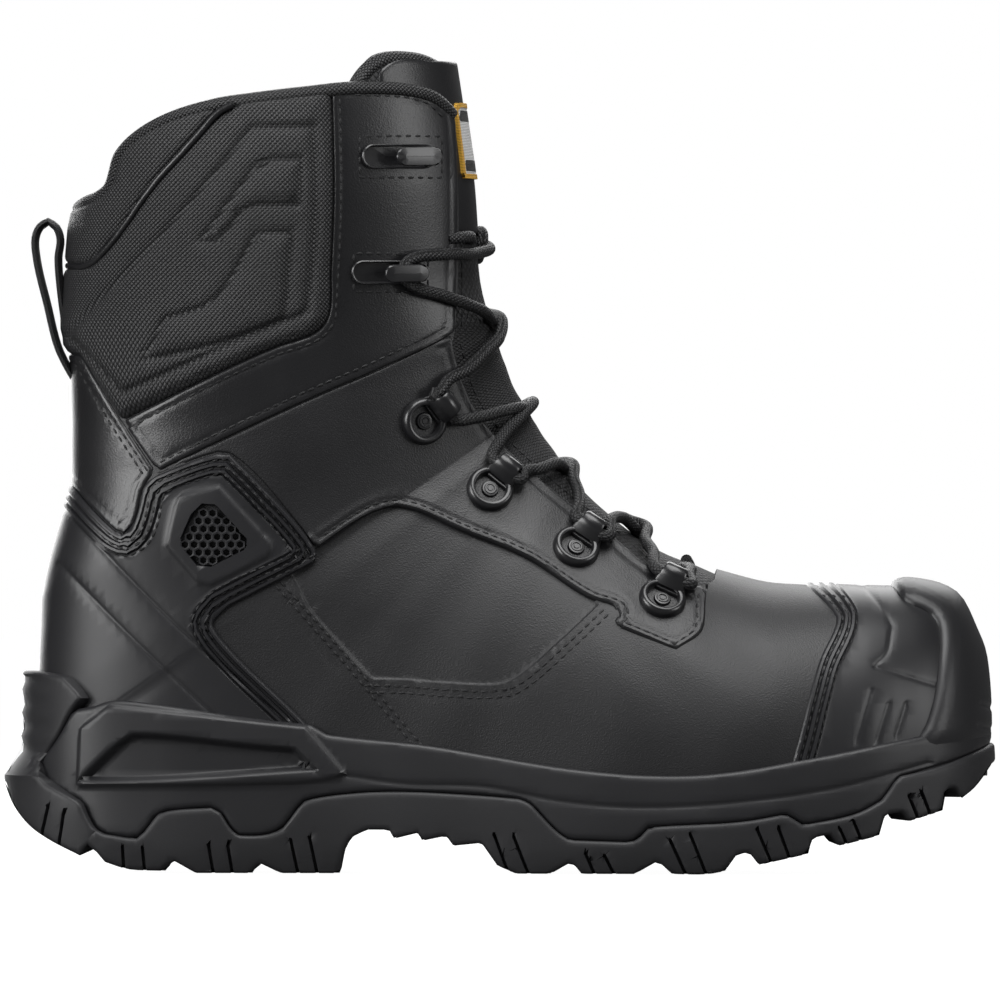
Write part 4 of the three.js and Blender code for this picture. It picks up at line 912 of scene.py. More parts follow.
def build_upper():
    opening = fitted(COLLAR_LINE + THROAT_LINE + OVER_OPENING)
    table, triangles = Cache.sheet()
    table = with_fields(table, -outline_gap(table[:, SIDE_VIEW], opening))
    table, triangles = trimmed(table, triangles, FIELDS_START, 0)
    table, triangles = split(table, triangles, FIELDS_START, 1)
    panel = fitted(SIDE_PANEL)
    table = with_fields(table, outline_gap(table[:, SIDE_VIEW], panel))
    for level in (-0.4, 0, 0.5):
        table, triangles = split(table, triangles, FIELDS_START + 1, level)
    strap = fitted(STRAP)
    table = with_fields(table, outline_gap(table[:, SIDE_VIEW], strap))
    for level in (0, 0.5, 1.2):
        table, triangles = split(table, triangles, FIELDS_START + 2, level)
    gap, strap_gap = field(table, 1), field(table, 2)
    high = 0.9 - 0.9 * smooth_step(-0.6, 0.3, gap)
    high = high + groove(gap, -2.2, 0.7, 0.25) + groove(gap, -4.3, 0.7, 0.25)
    high = np.maximum(high, 0.9 * smooth_step(-0.1, 1.0, strap_gap))
    along, up = table[:, 0], table[:, 2]
    flex = smooth_step(25, 50, along) * (1 - smooth_step(78, 95, along)) * smooth_step(48, 70, up)
    high += flex * 0.35 * np.sin(along / 5.2 + 0.04 * up + np.sin(up / 11) * 1.4)
    piece = cover("upper_shell", table, triangles, high, -WALL, "nubuck", second=Finish.get("lining"))
    remember(dressed(piece, "upper_leather", "upper"))


def raised(gap, thickness):
    """A rounded edge that rises to a thickness."""
    return thickness * profile(gap, EDGE_STEPS)


def build_collar():
    outline = [p for p in COLLAR_LINE if p[0] < 330] + COLLAR_SEAM + COLLAR_FOOT
    lines = [(COLLAR_FOLD, (0.7, 1.6, 3)), (PAD_EDGE + PAD_EDGE[:1], (0.6, 1.5)),
             (SHAPE_LOW + SHAPE_LOW[:1], (0.5, 1.2)), (SHAPE_HIGH + SHAPE_HIGH[:1], (0.5, 1.2))]
    table, triangles = patch(outline, (0.3, 0.8, 1.6, 3, 5, 8), lines)
    gap, piping, fold_gap, low_gap, high_gap = (field(table, i) for i in range(5))
    points = table[:, SIDE_VIEW]
    puff = profile(gap, COLLAR_STEPS) - 1.7 * np.exp(-((piping / 1.5) ** 2)) - 1.0 * np.exp(-((fold_gap / 1.3) ** 2))
    puff -= 0.8 * np.exp(-((low_gap / 1.1) ** 2)) + 0.8 * np.exp(-((high_gap / 1.1) ** 2))
    puff += sum(0.7 * smooth_step(0, 4, outline_gap(points, fitted(shape))) for shape in (SHAPE_LOW, SHAPE_HIGH))
    piece = cover("collar_pad", table, triangles, np.maximum(puff, 0.6), -0.6, "collar_textile")
    remember(dressed(piece, "collar_textile", "collar"))


def build_collar_piping():
    """The narrow leather strip that covers the seam of the collar's upper panel."""
    line = eased(drawn(COLLAR_FOLD), 1.2)
    parts = []
    for sign in (-1, 1):
        path = eased(np.array([on_skin(spot, sign, 3.3)[0] for spot in line])[::3], 1.0, corner=NO_CORNER)
        parts.append(tube(path, PIPING_RADIUS, 10))
    joined("collar_piping", parts, "smooth_leather", "smooth_leather")


def build_backstay():
    foot = [p for p in COUNTER_EDGE if p[0] < 156]
    table, triangles = patch(BACKSTAY_EDGE + foot[::-1], (0.25, 0.7, 1.5, 2.4, 3.4))
    gap = field(table, 0)
    high = raised(gap, 1.7) + groove(gap, 2.4, 0.5, 0.3)
    piece = cover("backstay_leather", table, triangles, high, UNDERLAP, "smooth_leather")
    remember(dressed(piece, "smooth_leather", "backstay"))


def build_facing(side, sign):
    top = [p for p in COLLAR_LINE if p[0] > 330]
    outline = top + THROAT_LINE[:2] + FACING_EDGE + COLLAR_SEAM[::-1]
    table, triangles = side_of(*patch(outline, (0.25, 0.7, 1.5, 2.6, 3.4)), sign)
    gap = field(table, 0)
    high = raised(gap, 1.9) + groove(gap, 2.8, 0.5, 0.25)
    piece = cover(f"facing_{side}_leather", table, triangles, high, UNDERLAP, "smooth_leather")
    remember(dressed(piece, "upper_leather", f"facing_{side}"))


def build_eyestay(side, sign):
    throat = THROAT_LINE[2:-2]
    behind = [p for p in COUNTER_EDGE if p[0] > 150 and p[1] < 552]
    outline = throat + QUARTER_EDGE + behind[::-1] + FACING_EDGE[::-1]
    table, triangles = side_of(*patch(outline, (0.25, 0.7, 1.3, 2.2, 3.0, 4.0)), sign)
    gap = field(table, 0)
    edges = [line_gap(table[:, SIDE_VIEW], eased(drawn(line))) for line in (QUARTER_EDGE, throat)]
    rolled_edge = 1 - smooth_step(4, 6, np.abs(edges).min(0))
    lip = 0.35 * np.exp(-(((gap - 1.0) / 0.6) ** 2)) + groove(gap, 2.5, 0.6, 0.3)
    high = raised(gap, 1.4 + 0.3 * rolled_edge) + lip * rolled_edge
    piece = cover(f"eyestay_{side}_leather", table, triangles, high, UNDERLAP, "panel_leather")
    remember(dressed(piece, "upper_leather", f"eyestay_{side}"))


def build_counter():
    lines = [(band, (0.5, 1.2)) for band in COUNTER_BANDS]
    table, triangles = patch(COUNTER_EDGE + UNDER_COUNTER, cuts(COUNTER_STEPS), lines, SOLE_CORNER)
    for i, (inner, levels) in enumerate(((VENT_FRAME, (-1.0, 0, 0.6, 1.6)), (VENT_FIELD, (-0.6, 0.0)))):
        table = with_fields(table, outline_gap(table[:, SIDE_VIEW], fitted(inner, corner=SOLE_CORNER)))
        for level in levels:
            table, triangles = split(table, triangles, FIELDS_START + 3 + i, level)
    high = profile(field(table, 0), COUNTER_STEPS) + groove(field(table, 1), 0, 0.8, 0.5)
    high += groove(field(table, 2), 0, 0.8, 0.5)
    high += 0.8 * smooth_step(-0.8, 0.9, field(table, 3)) - 2.5 * smooth_step(-0.6, 0.1, field(table, 4))
    along, up = table[:, 0], table[:, 2]
    rear = smooth_step(-142, -146, along) * smooth_step(70, 74, up) * (1 - smooth_step(87, 91, up))
    high += 0.5 * rear * (0.5 + 0.5 * np.sin(up * 1.9))
    piece = cover("heel_counter_rubber", table, triangles, high, UNDERLAP, "moulded_rubber")
    remember(dressed(piece, "counter_rubber", "heel_counter"))
    build_vent_mesh()


def build_vent_mesh():
    """The honeycomb in the counter's vent frame: raised hexagon walls over a dark field."""
    pitch, wall = 2.9, 0.9
    outer_share, row_share = 0.577, 0.866
    rings_of_cell = ((pitch * outer_share, 0.5), ((pitch - wall) * outer_share, 0.4), ((pitch - wall) * 0.5, -1.8))
    vent = fitted(VENT_FIELD)
    low, high = vent.min(0), vent.max(0)
    for sign, side in ((-1, "lateral"), (1, "medial")):
        points, faces = [], []
        for row in range(24):
            for column in range(24):
                centre = low + pitch * np.array([column + 0.5 * (row % 2), row * row_share])
                if (centre > high + 2).any() or outline_gap(centre[None], vent)[0] < 0.4:
                    continue
                faces += ring_faces(3, 6, len(points))
                for radius, lift in rings_of_cell:
                    for k in range(6):
                        angle = math.radians(60 * k + 30)
                        spot = centre + radius * np.array([math.cos(angle), math.sin(angle)])
                        place, out = on_skin(spot, sign, 2.4)
                        points.append(place + out * lift)
        if sign > 0:
            faces = [face[::-1] for face in faces]
        piece = made(f"vent_mesh_{side}", np.array(points), faces, Finish.get("moulded_rubber"), sharp=30)
        dressed(piece, "counter_rubber")


def on_skin(spot, sign, height=0.0):
    """The point of the last over a spot of the side view on one side, and the way out there."""
    if not hasattr(Cache, "tree"):
        table, triangles = Cache.sheet()
        Cache.tree = BVHTree.FromPolygons(table[:, PLACE].tolist(), triangles.tolist())
    start = Vector((spot[0], sign * FAR_OUT, spot[1]))
    place, normal, _, _ = Cache.tree.ray_cast(start, Vector((0, -sign, 0)))
    if place is None:
        place, normal, _, _ = Cache.tree.find_nearest(Vector((spot[0], sign * 5, spot[1])))
    if normal.y * sign < 0 and abs(normal.y) > 0.05:
        normal = -normal
    out = np.array(normal)
    return np.array(place) + out * height, out


def build_guard():
    lines = [(curve, (0.5, 1.2)) for curve in GUARD_CURVES] + [(fin, (0.5, 1.3)) for fin in GUARD_FINS]
    table, triangles = patch(GUARD_EDGE + BEYOND_GUARD, cuts(GUARD_STEPS), lines, SOLE_CORNER)
    high = profile(field(table, 0), GUARD_STEPS)
    for i in (1, 2):
        high += groove(field(table, i), 0, 0.8, 0.3)
    for i in (3, 4, 5):
        high += groove(field(table, i), 0, 0.9, 0.4)
    piece = cover("toe_guard_rubber", table, triangles, high, UNDERLAP, "moulded_rubber")
    remember(dressed(piece, "counter_rubber", "toe_guard"))


def sole_loop(step=2.3):
    """The sole's outline from above with its way out: the foot of the upper, evenly spaced."""
    rows = dense_rows()
    opened = (rows[:, BASE_LATERAL] > 0.004) | (rows[:, BASE_ALONG] > 0.3)
    rows = rows[opened]
    x = (rows[:, BASE_ALONG] - 0.5) * BOOT_LENGTH
    lateral = np.column_stack([x, -rows[:, BASE_LATERAL] * base_width(rows)])
    medial = np.column_stack([x, rows[:, BASE_MEDIAL] * base_width(rows)])
    loop = np.concatenate([lateral[::-1], medial])
    closed = np.concatenate([loop, loop[:1]])
    run = run_along(closed)
    count = round(run[-1] / step)
    wanted = np.arange(count) * run[-1] / count
    loop = np.column_stack([np.interp(wanted, run, closed[:, i]) for i in range(2)])
    for _ in range(6):
        loop = (np.roll(loop, 1, 0) + 2 * loop + np.roll(loop, -1, 0)) / 4
    tangent = np.roll(loop, -2, 0) - np.roll(loop, 2, 0)
    tangent /= np.linalg.norm(tangent, axis=1)[:, None]
    out = np.column_stack([tangent[:, 1], -tangent[:, 0]])
    if ((loop - loop.mean(0)) * out).sum() < 0:
        out = -out
    return loop, out, wanted


def sole_sheet(levels, side, heel, low, high, step=2.5):
    """The side wall of the sole between two heights as a sheet."""
    loop, out, run = sole_loop()
    heights = np.arange(low, high + step, step)
    levels = np.array(levels)
    knots = levels[:, 0] * COLLAR_HEIGHT
    heel_share, side_share = (monotone(knots, levels[:, i], np.clip(heights, knots[0], knots[-1])) for i in (1, 2))
    heel_end = loop[:, 0].min() / BOOT_LENGTH + 0.5
    heelward = 1 - smooth_step(heel_end, 0.16, loop[:, 0] / BOOT_LENGTH + 0.5)
    grid = np.empty((len(heights), len(loop), 3))
    for i, height in enumerate(heights):
        margin = side * side_share[i] * (1 - heelward) + heel * heel_share[i] * heelward
        grid[i, :, :2] = loop + out * margin[:, None]
        grid[i, :, 2] = height
    triangles = grid_triangles(*grid.shape[:2], closed=True)
    points = grid.reshape(-1, 3)
    normals = corner_normals(points, triangles)
    way = np.tile(np.column_stack([out, np.zeros(len(out))]), (len(heights), 1))
    if (normals * way).sum(1).mean() < 0:
        normals, triangles = -normals, triangles[:, ::-1]
    rolled = np.column_stack([np.tile(run, len(heights)), np.repeat(heights, len(loop))])
    return np.column_stack([points, normals, rolled]), triangles


def trimmed_wall(outline, levels, side, heel, cuts, lines=()):
    edge = fitted(outline, 1.4, SOLE_CORNER)
    table, triangles = sole_sheet(levels, side, heel, -1.5, 72)
    table = with_fields(table, outline_gap(table[:, SIDE_VIEW], edge))
    table, triangles = trimmed(table, triangles, FIELDS_START, 0)
    for level in cuts:
        table, triangles = split(table, triangles, FIELDS_START, level)
    for i, (gap_of, line_levels) in enumerate(lines):
        table = with_fields(table, gap_of(table[:, SIDE_VIEW]))
        for level in line_levels:
            table, triangles = split(table, triangles, FIELDS_START + 1 + i, level)
    for i, (gap_of, _) in enumerate(lines):
        table[:, FIELDS_START + 1 + i] = gap_of(table[:, SIDE_VIEW])
    return table, triangles


def build_midsole():
    outline = PARTING_LINE + RAND_LINE[::-1]
    panel, recess = fitted(HEEL_PANEL, corner=SOLE_CORNER), fitted(HEEL_RECESS, corner=SOLE_CORNER)
    crease = eased(drawn(MIDSOLE_CREASE), 1.8)
    lines = [
        (lambda p: outline_gap(p, panel), (-0.8, 0, 0.8)),
        (lambda p: outline_gap(p, recess), (-0.5, 0, 0.7, 1.6, 2.2)),
        (lambda p: line_gap(p, crease), both_sides((0.5, 1.2))),
    ]
    table, triangles = trimmed_wall(
        outline, MIDSOLE_LEVELS, MIDSOLE_MARGIN, MIDSOLE_HEEL_MARGIN, cuts(MIDSOLE_STEPS), lines,
    )
    high = profile(field(table, 0), MIDSOLE_STEPS) + 1.2 * smooth_step(-0.9, 0.9, field(table, 1))
    high = high - 2.9 * smooth_step(-0.5, 2.2, field(table, 2)) + groove(field(table, 3), 0, 0.9, 0.45)
    piece = cover("midsole_wall", table, triangles, high, -9, "midsole_rubber")
    dressed(piece, "midsole_rubber", "midsole")
    build_bumper()


def build_bumper():
    lines = [(line, (0.5, 1.3)) for line in BUMPER_GROOVES]
    table, triangles = patch(BUMPER_EDGE + BEYOND_BUMPER, cuts(BUMPER_STEPS), lines)
    high = profile(field(table, 0), BUMPER_STEPS)
    for i in (1, 2):
        high = high + groove(field(table, i), 0, 0.9, 0.5)
    high -= 1.6 * (1 - smooth_step(38, 46, table[:, 2]))
    piece = cover("toe_bumper", table, triangles, high, UNDERLAP, "midsole_rubber")
    remember(dressed(piece, "midsole_rubber"))


def build_outsole():
    rear = TREAD_LINE.index((2, 785)) + 1
    outline = PARTING_LINE + BEYOND_TOE + TREAD_LINE[1:rear] + BEYOND_HEEL + CUP_LINE
    sipes = [drawn(line) for line in SIPES]
    table, triangles = trimmed_wall(
        outline, OUTSOLE_LEVELS, OUTSOLE_MARGIN, OUTSOLE_HEEL_MARGIN, cuts(OUTSOLE_STEPS),
        [(lambda p: nearest_gap(p, sipes), both_sides((0.3, 0.55)))],
    )
    high = profile(field(table, 0), OUTSOLE_STEPS) - 2.2 * (1 - smooth_step(0.25, 0.6, np.abs(field(table, 1))))
    along, up = table[:, 0], table[:, 2]
    ribs = smooth_step(-143, -149, along) * smooth_step(28, 32, up)
    high += ribs * 0.8 * (smooth_step(-0.2, 0.6, np.sin(up * 0.9)) - 0.5)
    points, faces, _ = shell(table, triangles, high, -12)
    points[:, 2] = np.maximum(points[:, 2], 0)
    bottom_points, bottom_faces = tread_ribbon()
    faces = np.concatenate([faces, bottom_faces + len(points)])
    piece = made("outsole_tread", np.concatenate([points, bottom_points]), faces, Finish.get("outsole_rubber"))
    dressed(piece, "outsole_rubber", "outsole")


def tread_ribbon():
    """The underside: the tread line carried from one side wall to the other, with grooves along the foot."""
    table, triangles = sole_sheet(OUTSOLE_LEVELS, OUTSOLE_MARGIN, OUTSOLE_HEEL_MARGIN, -1.5, 72, 3)
    tree = BVHTree.FromPolygons(table[:, PLACE].tolist(), triangles.tolist())
    line = eased(drawn(TREAD_LINE), 2.0, corner=SOLE_CORNER)
    shares = np.array([
        -1, -0.8, -0.42, -0.4, -0.32, -0.3, -0.05, -0.03, 0.03, 0.05, 0.3, 0.32, 0.4, 0.42, 0.8, 1,
    ])
    forefoot = np.array([0, 0, 0, 1, 1, 0, 0, 0, 0, 0, 0, 1, 1, 0, 0, 0])
    heel = np.array([0, 0, 0, 0, 0, 0, 0, 1, 1, 0, 0, 0, 0, 0, 0, 0])
    rows = []
    for x, z in line:
        ends = []
        for sign in (-1, 1):
            place = tree.ray_cast(Vector((x, sign * FAR_OUT, max(z, 0.2))), Vector((0, -sign, 0)))[0]
            ends.append(None if place is None else place.y)
        if ends[0] is None or ends[1] is None:
            middle = 11 if x > 0 else 0
            ends = [middle - 2, middle + 2]
        low, high = ends[0] + 0.9, ends[1] - 0.9
        y = (low + high) / 2 + shares * (high - low) / 2
        deep = 4 * forefoot * (0 < x < 140) + 4 * heel * (-144 < x < -45)
        rows.append(np.column_stack([np.full(len(y), x), y, z + 0.35 + deep]))
    grid = np.array(rows)
    return grid.reshape(-1, 3), grid_triangles(*grid.shape[:2])


def build_tongue():
    table, triangles = near(*Cache.sheet(), fitted(TONGUE_LINE), 10)
    table = with_fields(table, outline_gap(table[:, SIDE_VIEW], fitted(TONGUE_LINE)))
    table, triangles = trimmed(table, triangles, FIELDS_START, 0)
    for level in cuts(TONGUE_STEPS):
        table, triangles = split(table, triangles, FIELDS_START, level)
    puff = profile(field(table, 0), TONGUE_STEPS) + 1.8 * smooth_step(52, 66, table[:, 0])
    piece = cover("tongue_pad", table, triangles, puff, -8.2, "tongue_textile")
    remember(dressed(piece, "tongue_textile", "tongue"))


def build_tongue_leather():
    """The smooth leather on the tongue's top and front, down to the first crossing of the lace."""
    edge = fitted(TONGUE_LEATHER)
    table, triangles = near(*Cache.sheet(), edge, 4)
    table = with_fields(table, outline_gap(table[:, SIDE_VIEW], edge))
    table, triangles = trimmed(table, triangles, FIELDS_START, 0)
    for level in (0.3, 0.8, 1.5):
        table, triangles = split(table, triangles, FIELDS_START, level)
    high = -3.0 + raised(field(table, 0), 0.9)
    dressed(cover("tongue_leather", table, triangles, high, -4.5, "smooth_leather"), "smooth_leather")


def build_label():
    table, triangles = near(*Cache.sheet(), fitted(LABEL_AREA), 4)
    across = LABEL_HALF_WIDTH - np.abs(table[:, 1])
    top, foot = ((FLOOR_LINE - line) * UNIT for line in (LABEL_TOP, LABEL_FOOT))
    tall = np.minimum(top - table[:, 2], table[:, 2] - foot)
    table = with_fields(table, np.minimum(across, tall), tall)
    table, triangles = trimmed(table, triangles, FIELDS_START, 0)
    for column, level in ((0, 0.3), (0, LABEL_RIM), (0, 3.4), (1, 2.4), (1, 6.0)):
        table, triangles = split(table, triangles, FIELDS_START + column, level)
    triangles = triangles[table[triangles, 0].mean(1) > -40]
    gap, rise = (table[triangles, FIELDS_START + i].mean(1) for i in (0, 1))
    rim = gap < LABEL_RIM
    block = (gap > 2.4) & (rise > 2.4) & (rise < 6.0)
    for name, part, height, nodes in (
        ("label_border", rim, -1.0, ["tongue_label"]),
        ("label_block", block, -1.2, []),
        ("label_field", ~rim & ~block, -1.25, []),
    ):
        used, spot = np.unique(triangles[part], return_inverse=True)
        piece = cover(name, table[used], spot.reshape(-1, 3), height, -3.2, name)
        dressed(piece, "label_weave", *nodes)


def tube(points, radius, sides=10, squash=1.0, across=None):
    """A tube through points; with across it is a strap whose width lies along that direction."""
    points = np.asarray(points, float)
    ahead = heading(points)
    side = np.array([0.0, 0.0, 1.0]) if across is None else np.array(across, float)
    rings = []
    for place, way in zip(points, ahead):
        side = side - way * side.dot(way)
        side /= np.linalg.norm(side)
        up = np.cross(way, side)
        angle = np.arange(sides) / sides * 2 * math.pi
        rings.append(place + radius * (np.cos(angle)[:, None] * side + squash * np.sin(angle)[:, None] * up))
    count = len(points)
    faces = ring_faces(count, sides)
    faces.append(tuple(range(sides))[::-1])
    faces.append(tuple((count - 1) * sides + k for k in range(sides)))
    around = np.arange(sides) / sides * 2 * math.pi * radius
    rolled = np.column_stack([np.tile(around, count), np.repeat(run_along(points), sides)])
    return np.concatenate(rings), faces, rolled


def joined(name, parts, finish, slot, *nodes):
    """One piece from several lots of points, faces and rolled-out places."""
    points, faces, rolled, start = [], [], [], 0
    for p, f, r in parts:
        points.append(p)
        faces.extend(tuple(i + start for i in face) for face in f)
        rolled.append(r if r is not None else np.zeros((len(p), 2)))
        start += len(p)
    piece = made(name, np.concatenate(points), faces, Finish.get(finish), rolled=np.concatenate(rolled))
    dressed(piece, slot, *nodes)


def build_loop():
    path = eased(drawn(LOOP_LINE), 1.5)
    points, faces = [], []
    count = len(path)
    ahead = heading(path)
    out = np.column_stack([-ahead[:, 1], ahead[:, 0]])
    half_width = 9.2
    widths = np.linspace(-1, 1, 13) * half_width
    for face_sign in (1, -1):
        for i in range(count):
            for y in widths:
                rounding = 1.2 * (1 - (abs(y) / half_width) ** 8)
                spot = path[i] + out[i] * face_sign * rounding
                points.append((spot[0], y, spot[1]))
    size = count * len(widths)
    for layer in (0, 1):
        for i in range(count - 1):
            for k in range(len(widths) - 1):
                a = layer * size + i * len(widths) + k
                quad = (a, a + 1, a + 1 + len(widths), a + len(widths))
                faces.append(quad if layer else quad[::-1])
    for i in range(count - 1):
        for k in (0, len(widths) - 1):
            a = i * len(widths) + k
            quad = (a, a + len(widths), a + len(widths) + size, a + size)
            faces.append(quad if k == 0 else quad[::-1])
    rolled = np.tile(np.column_stack([np.tile(widths, count), np.repeat(run_along(path), len(widths))]), (2, 1))
    piece = made("pull_loop_webbing", np.array(points), faces, Finish.get("webbing"), rolled=rolled)
    dressed(piece, "webbing", "pull_loop")


def lathe(steps, turns=40):
    """A turned form from (radius, height) steps."""
    points = []
    for radius, height in steps:
        for k in range(turns):
            angle = k / turns * 2 * math.pi
            points.append((radius * math.cos(angle), radius * math.sin(angle), height))
    return np.array(points), ring_faces(len(steps), turns)


def moved(part, basis, place):
    points, faces = part
    return points @ basis.T + place, faces, None


def seat_basis(spot, sign, height, tab):
    place, out = on_skin(drawn([spot])[0], sign, height)
    along = np.array([tab[0], 0, tab[1]])
    along -= out * along.dot(out)
    along /= np.linalg.norm(along)
    return np.column_stack([along, np.cross(out, along), out]), place


def eyelet_parts():
    """A deep dished housing with a rivet, and the arched tab that bridges the lace."""
    body = lathe([
        (0.01, 0.85), (0.8, 0.85), (0.95, 0.6), (1.25, 0.6), (1.4, 0.95), (1.8, 0.95), (2.0, 0.7), (2.5, 0.65),
        (2.8, 0.2), (2.9, -0.9), (4.8, -0.9), (5.1, 1.7), (5.4, 2.3), (6.0, 2.55), (6.7, 2.4), (7.3, 1.7),
        (7.6, 0.6), (7.6, -2.2),
    ])
    arch = eased([
        (4.6, 1.6), (5.6, 3.4), (7.0, 5.6), (8.4, 6.3), (9.9, 5.8), (11.0, 4.2), (11.6, 2.2), (11.7, -2.0),
    ], 0.5)
    ahead = heading(arch)
    out = np.column_stack([-ahead[:, 1], ahead[:, 0]])
    corners = [
        (-1, -0.45), (-0.92, -0.75), (0.92, -0.75), (1, -0.45), (1, 0.3), (0.84, 0.75), (-0.84, 0.75), (-1, 0.3),
    ]
    points = []
    for i, (x, z) in enumerate(arch):
        half = 5.0 - 1.3 * smooth_step(0, 0.4, i / len(arch)) - 0.3 * smooth_step(0.5, 1, i / len(arch))
        for share, lift in corners:
            points.append((x + out[i, 0] * lift, share * half, z + out[i, 1] * lift))
    faces = ring_faces(len(arch), len(corners), flipped=True)
    foot = np.array([
        (3.0, -6.6), (6.0, -5.4), (9.0, -4.3), (11.2, -3.8), (12.1, -3.2), (12.3, 0), (12.1, 3.2), (11.2, 3.8),
        (9.0, 4.3), (6.0, 5.4), (3.0, 6.6),
    ])
    start, size = len(points), len(foot)
    for height, shrink in ((1.2, 0.93), (0.8, 1.0), (-2.2, 1.0)):
        points.extend((7 + (x - 7) * shrink, y * shrink, height) for x, y in foot)
    faces += ring_faces(3, size, start, flipped=True)
    faces.append(tuple(start + k for k in range(size)))
    return [body, (np.array(points), faces)]


def build_eyelets(side, sign):
    forms = eyelet_parts()
    for i, (spot, tab) in enumerate(EYELETS):
        basis, place = seat_basis(spot, sign, 1.5, tab)
        parts = [moved(form, basis, place) for form in forms]
        joined(f"eyelet_{side}_{i + 1}_housing", parts, "plastic", "eyelet_plastic", f"eyelet_{side}_{i + 1}")


def stadium(half_long, half_tall, turns=40):
    """A flat outline with straight sides and round ends."""
    angle = np.arange(turns) / turns * 2 * math.pi
    shift = np.where(np.cos(angle) >= 0, half_long - half_tall, half_tall - half_long)
    return np.column_stack([half_tall * np.cos(angle) + shift, half_tall * np.sin(angle)])


def build_hooks(side, sign):
    """Speed hooks: a rounded housing with a recess, and the bar that stands over it on a post."""
    for i, spot in enumerate(HOOKS):
        centre = drawn([spot])[0]
        parts = []
        for shift, steps in (
            (-1.9, HOOK_HOUSING),
            (1.6, HOOK_BAR),
            (6.6, HOOK_POST),
        ):
            points = []
            for half_long, half_tall, lift in steps:
                for across, up in stadium(max(half_long, half_tall), half_tall):
                    x = across * min(1, half_long / half_tall) + shift
                    points.append(on_skin(centre + (x, up), sign, lift)[0])
            faces = ring_faces(len(steps), len(points) // len(steps), flipped=sign > 0)
            parts.append((np.array(points), faces, None))
        joined(f"hook_{side}_{i + 1}_bar", parts, "plastic", "eyelet_plastic", f"hook_{side}_{i + 1}")


def lace_points(mirror):
    """Where one lace runs: through its eyelets and over the middle, now over and now under the other lace."""
    spots, crossing = [], 0
    last_side = -1
    for entry in LACE_ROUTE:
        if isinstance(entry, str):
            index = int(entry.split()[1]) - 1
            spot, tab = EYELETS[index]
            basis, place = seat_basis(spot, last_side * mirror, 1.5, tab)
            run = [place + basis @ np.array([7.7, end * 5.6, 3.5]) for end in (-1, 0, 1)]
            run.sort(key=lambda p: -p[2])
            spots.extend(run)
            continue
        spot, side, lift = entry
        flat = drawn([spot])[0]
        if side == 0:
            crossing += 1
            over = CROSSING_LIFT * (1 if (crossing % 2 == 0) == (mirror > 0) else -1)
            spots.append(np.array([flat[0] + over * 0.7, 0.0, flat[1] + over * 0.7]))
            continue
        last_side = side
        spots.append(on_skin(flat, side * mirror, lift)[0])
    return np.array(spots)


def build_laces():
    look = bpy.context.scene.boot_look
    parts = []
    for mirror in (1, -1):
        points = lace_points(mirror)
        path = eased(points, 0.9, corner=NO_CORNER)
        parts.append(tube(path, look.lace_diameter * 500, 14))
    joined("laces_braid", parts, "lace", "lace_braid", "laces")


def stitch_form(length, width, turns=6):
    points = []
    rings = ((-1, 0.25), (-0.7, 0.8), (0, 1), (0.7, 0.8), (1, 0.25))
    for share, fat in rings:
        for k in range(turns):
            angle = k / turns * 2 * math.pi
            reach = width / 2 * fat
            points.append((share * length / 2, math.cos(angle) * reach, math.sin(angle) * reach))
    faces = ring_faces(len(rings), turns)
    faces.append(tuple(range(turns))[::-1])
    faces.append(tuple((len(rings) - 1) * turns + k for k in range(turns)))
    return np.array(points), faces


def skin_tree():
    """One surface of every piece that carries stitches."""
    points, faces, start = [], [], 0
    for piece in Cache.skins:
        mesh = piece.data
        spots = np.empty(len(mesh.vertices) * 3)
        mesh.vertices.foreach_get("co", spots)
        points.extend(spots.reshape(-1, 3).tolist())
        faces.extend([tuple(v + start for v in polygon.vertices) for polygon in mesh.polygons])
        start += len(mesh.vertices)
    return BVHTree.FromPolygons(points, faces)


def build_stitches():
    look = bpy.context.scene.boot_look
    tree = skin_tree()
    pitch = look.stitch_pitch * 1000
    form, form_faces = stitch_form(pitch * 0.72, look.thread_width * 1000)
    shift = np.array([FrameShift.along, FrameShift.side, 0]) * 1000
    for side, sign in (("lateral", -1), ("medial", 1)):
        points, faces = [], []
        for line, beside in SEAMS:
            path = eased(drawn(line), 0.7)
            ahead = heading(path)
            path = path + np.column_stack([ahead[:, 1], -ahead[:, 0]]) * beside
            run = run_along(path)
            for at in np.arange(pitch / 2, run[-1], pitch):
                ends = []
                for step in (-0.3, 0.3):
                    x, z = (np.interp(at + step * pitch, run, path[:, k]) for k in range(2))
                    start = Vector(((x + shift[0]) / 1000, sign * 0.2, (z + shift[2]) / 1000))
                    place, normal, _, _ = tree.ray_cast(start, Vector((0, -sign, 0)))
                    ends.append((place, normal))
                if any(place is None for place, _ in ends):
                    continue
                (first, normal), (last, _) = ends
                way = np.array(last - first)
                if np.linalg.norm(way) < 1e-6 or np.linalg.norm(way) > 0.004:
                    continue
                way /= np.linalg.norm(way)
                out = np.array(normal)
                if out[1] * sign < 0.12:
                    continue
                across = np.cross(out, way)
                across /= np.linalg.norm(across)
                out = np.cross(way, across)
                middle = np.array((first + last) / 2) * 1000 - shift - out * 0.05
                basis = np.column_stack([way, across, out])
                start = len(points)
                points.extend((form @ basis.T + middle).tolist())
                faces.extend(tuple(i + start for i in face) for face in form_faces)
        points = np.array(points)
        piece = made(f"stitches_{side}", points, faces, Finish.get("thread"), rolled=points[:, SIDE_VIEW])
        dressed(piece, "upper_leather")


def bound_edge(name, line, drop, height, radius, slot):
    """A rolled textile edge that follows a line of the side view on one side and back on the other."""
    first, second = ([on_skin(spot - np.array([0, drop]), sign, height)[0] for spot in line] for sign in (-1, 1))
    path = eased(np.array(first + second[::-1])[::3], 1.2, corner=NO_CORNER)
    joined(name, [tube(path, radius, 12)], "collar_textile", slot)


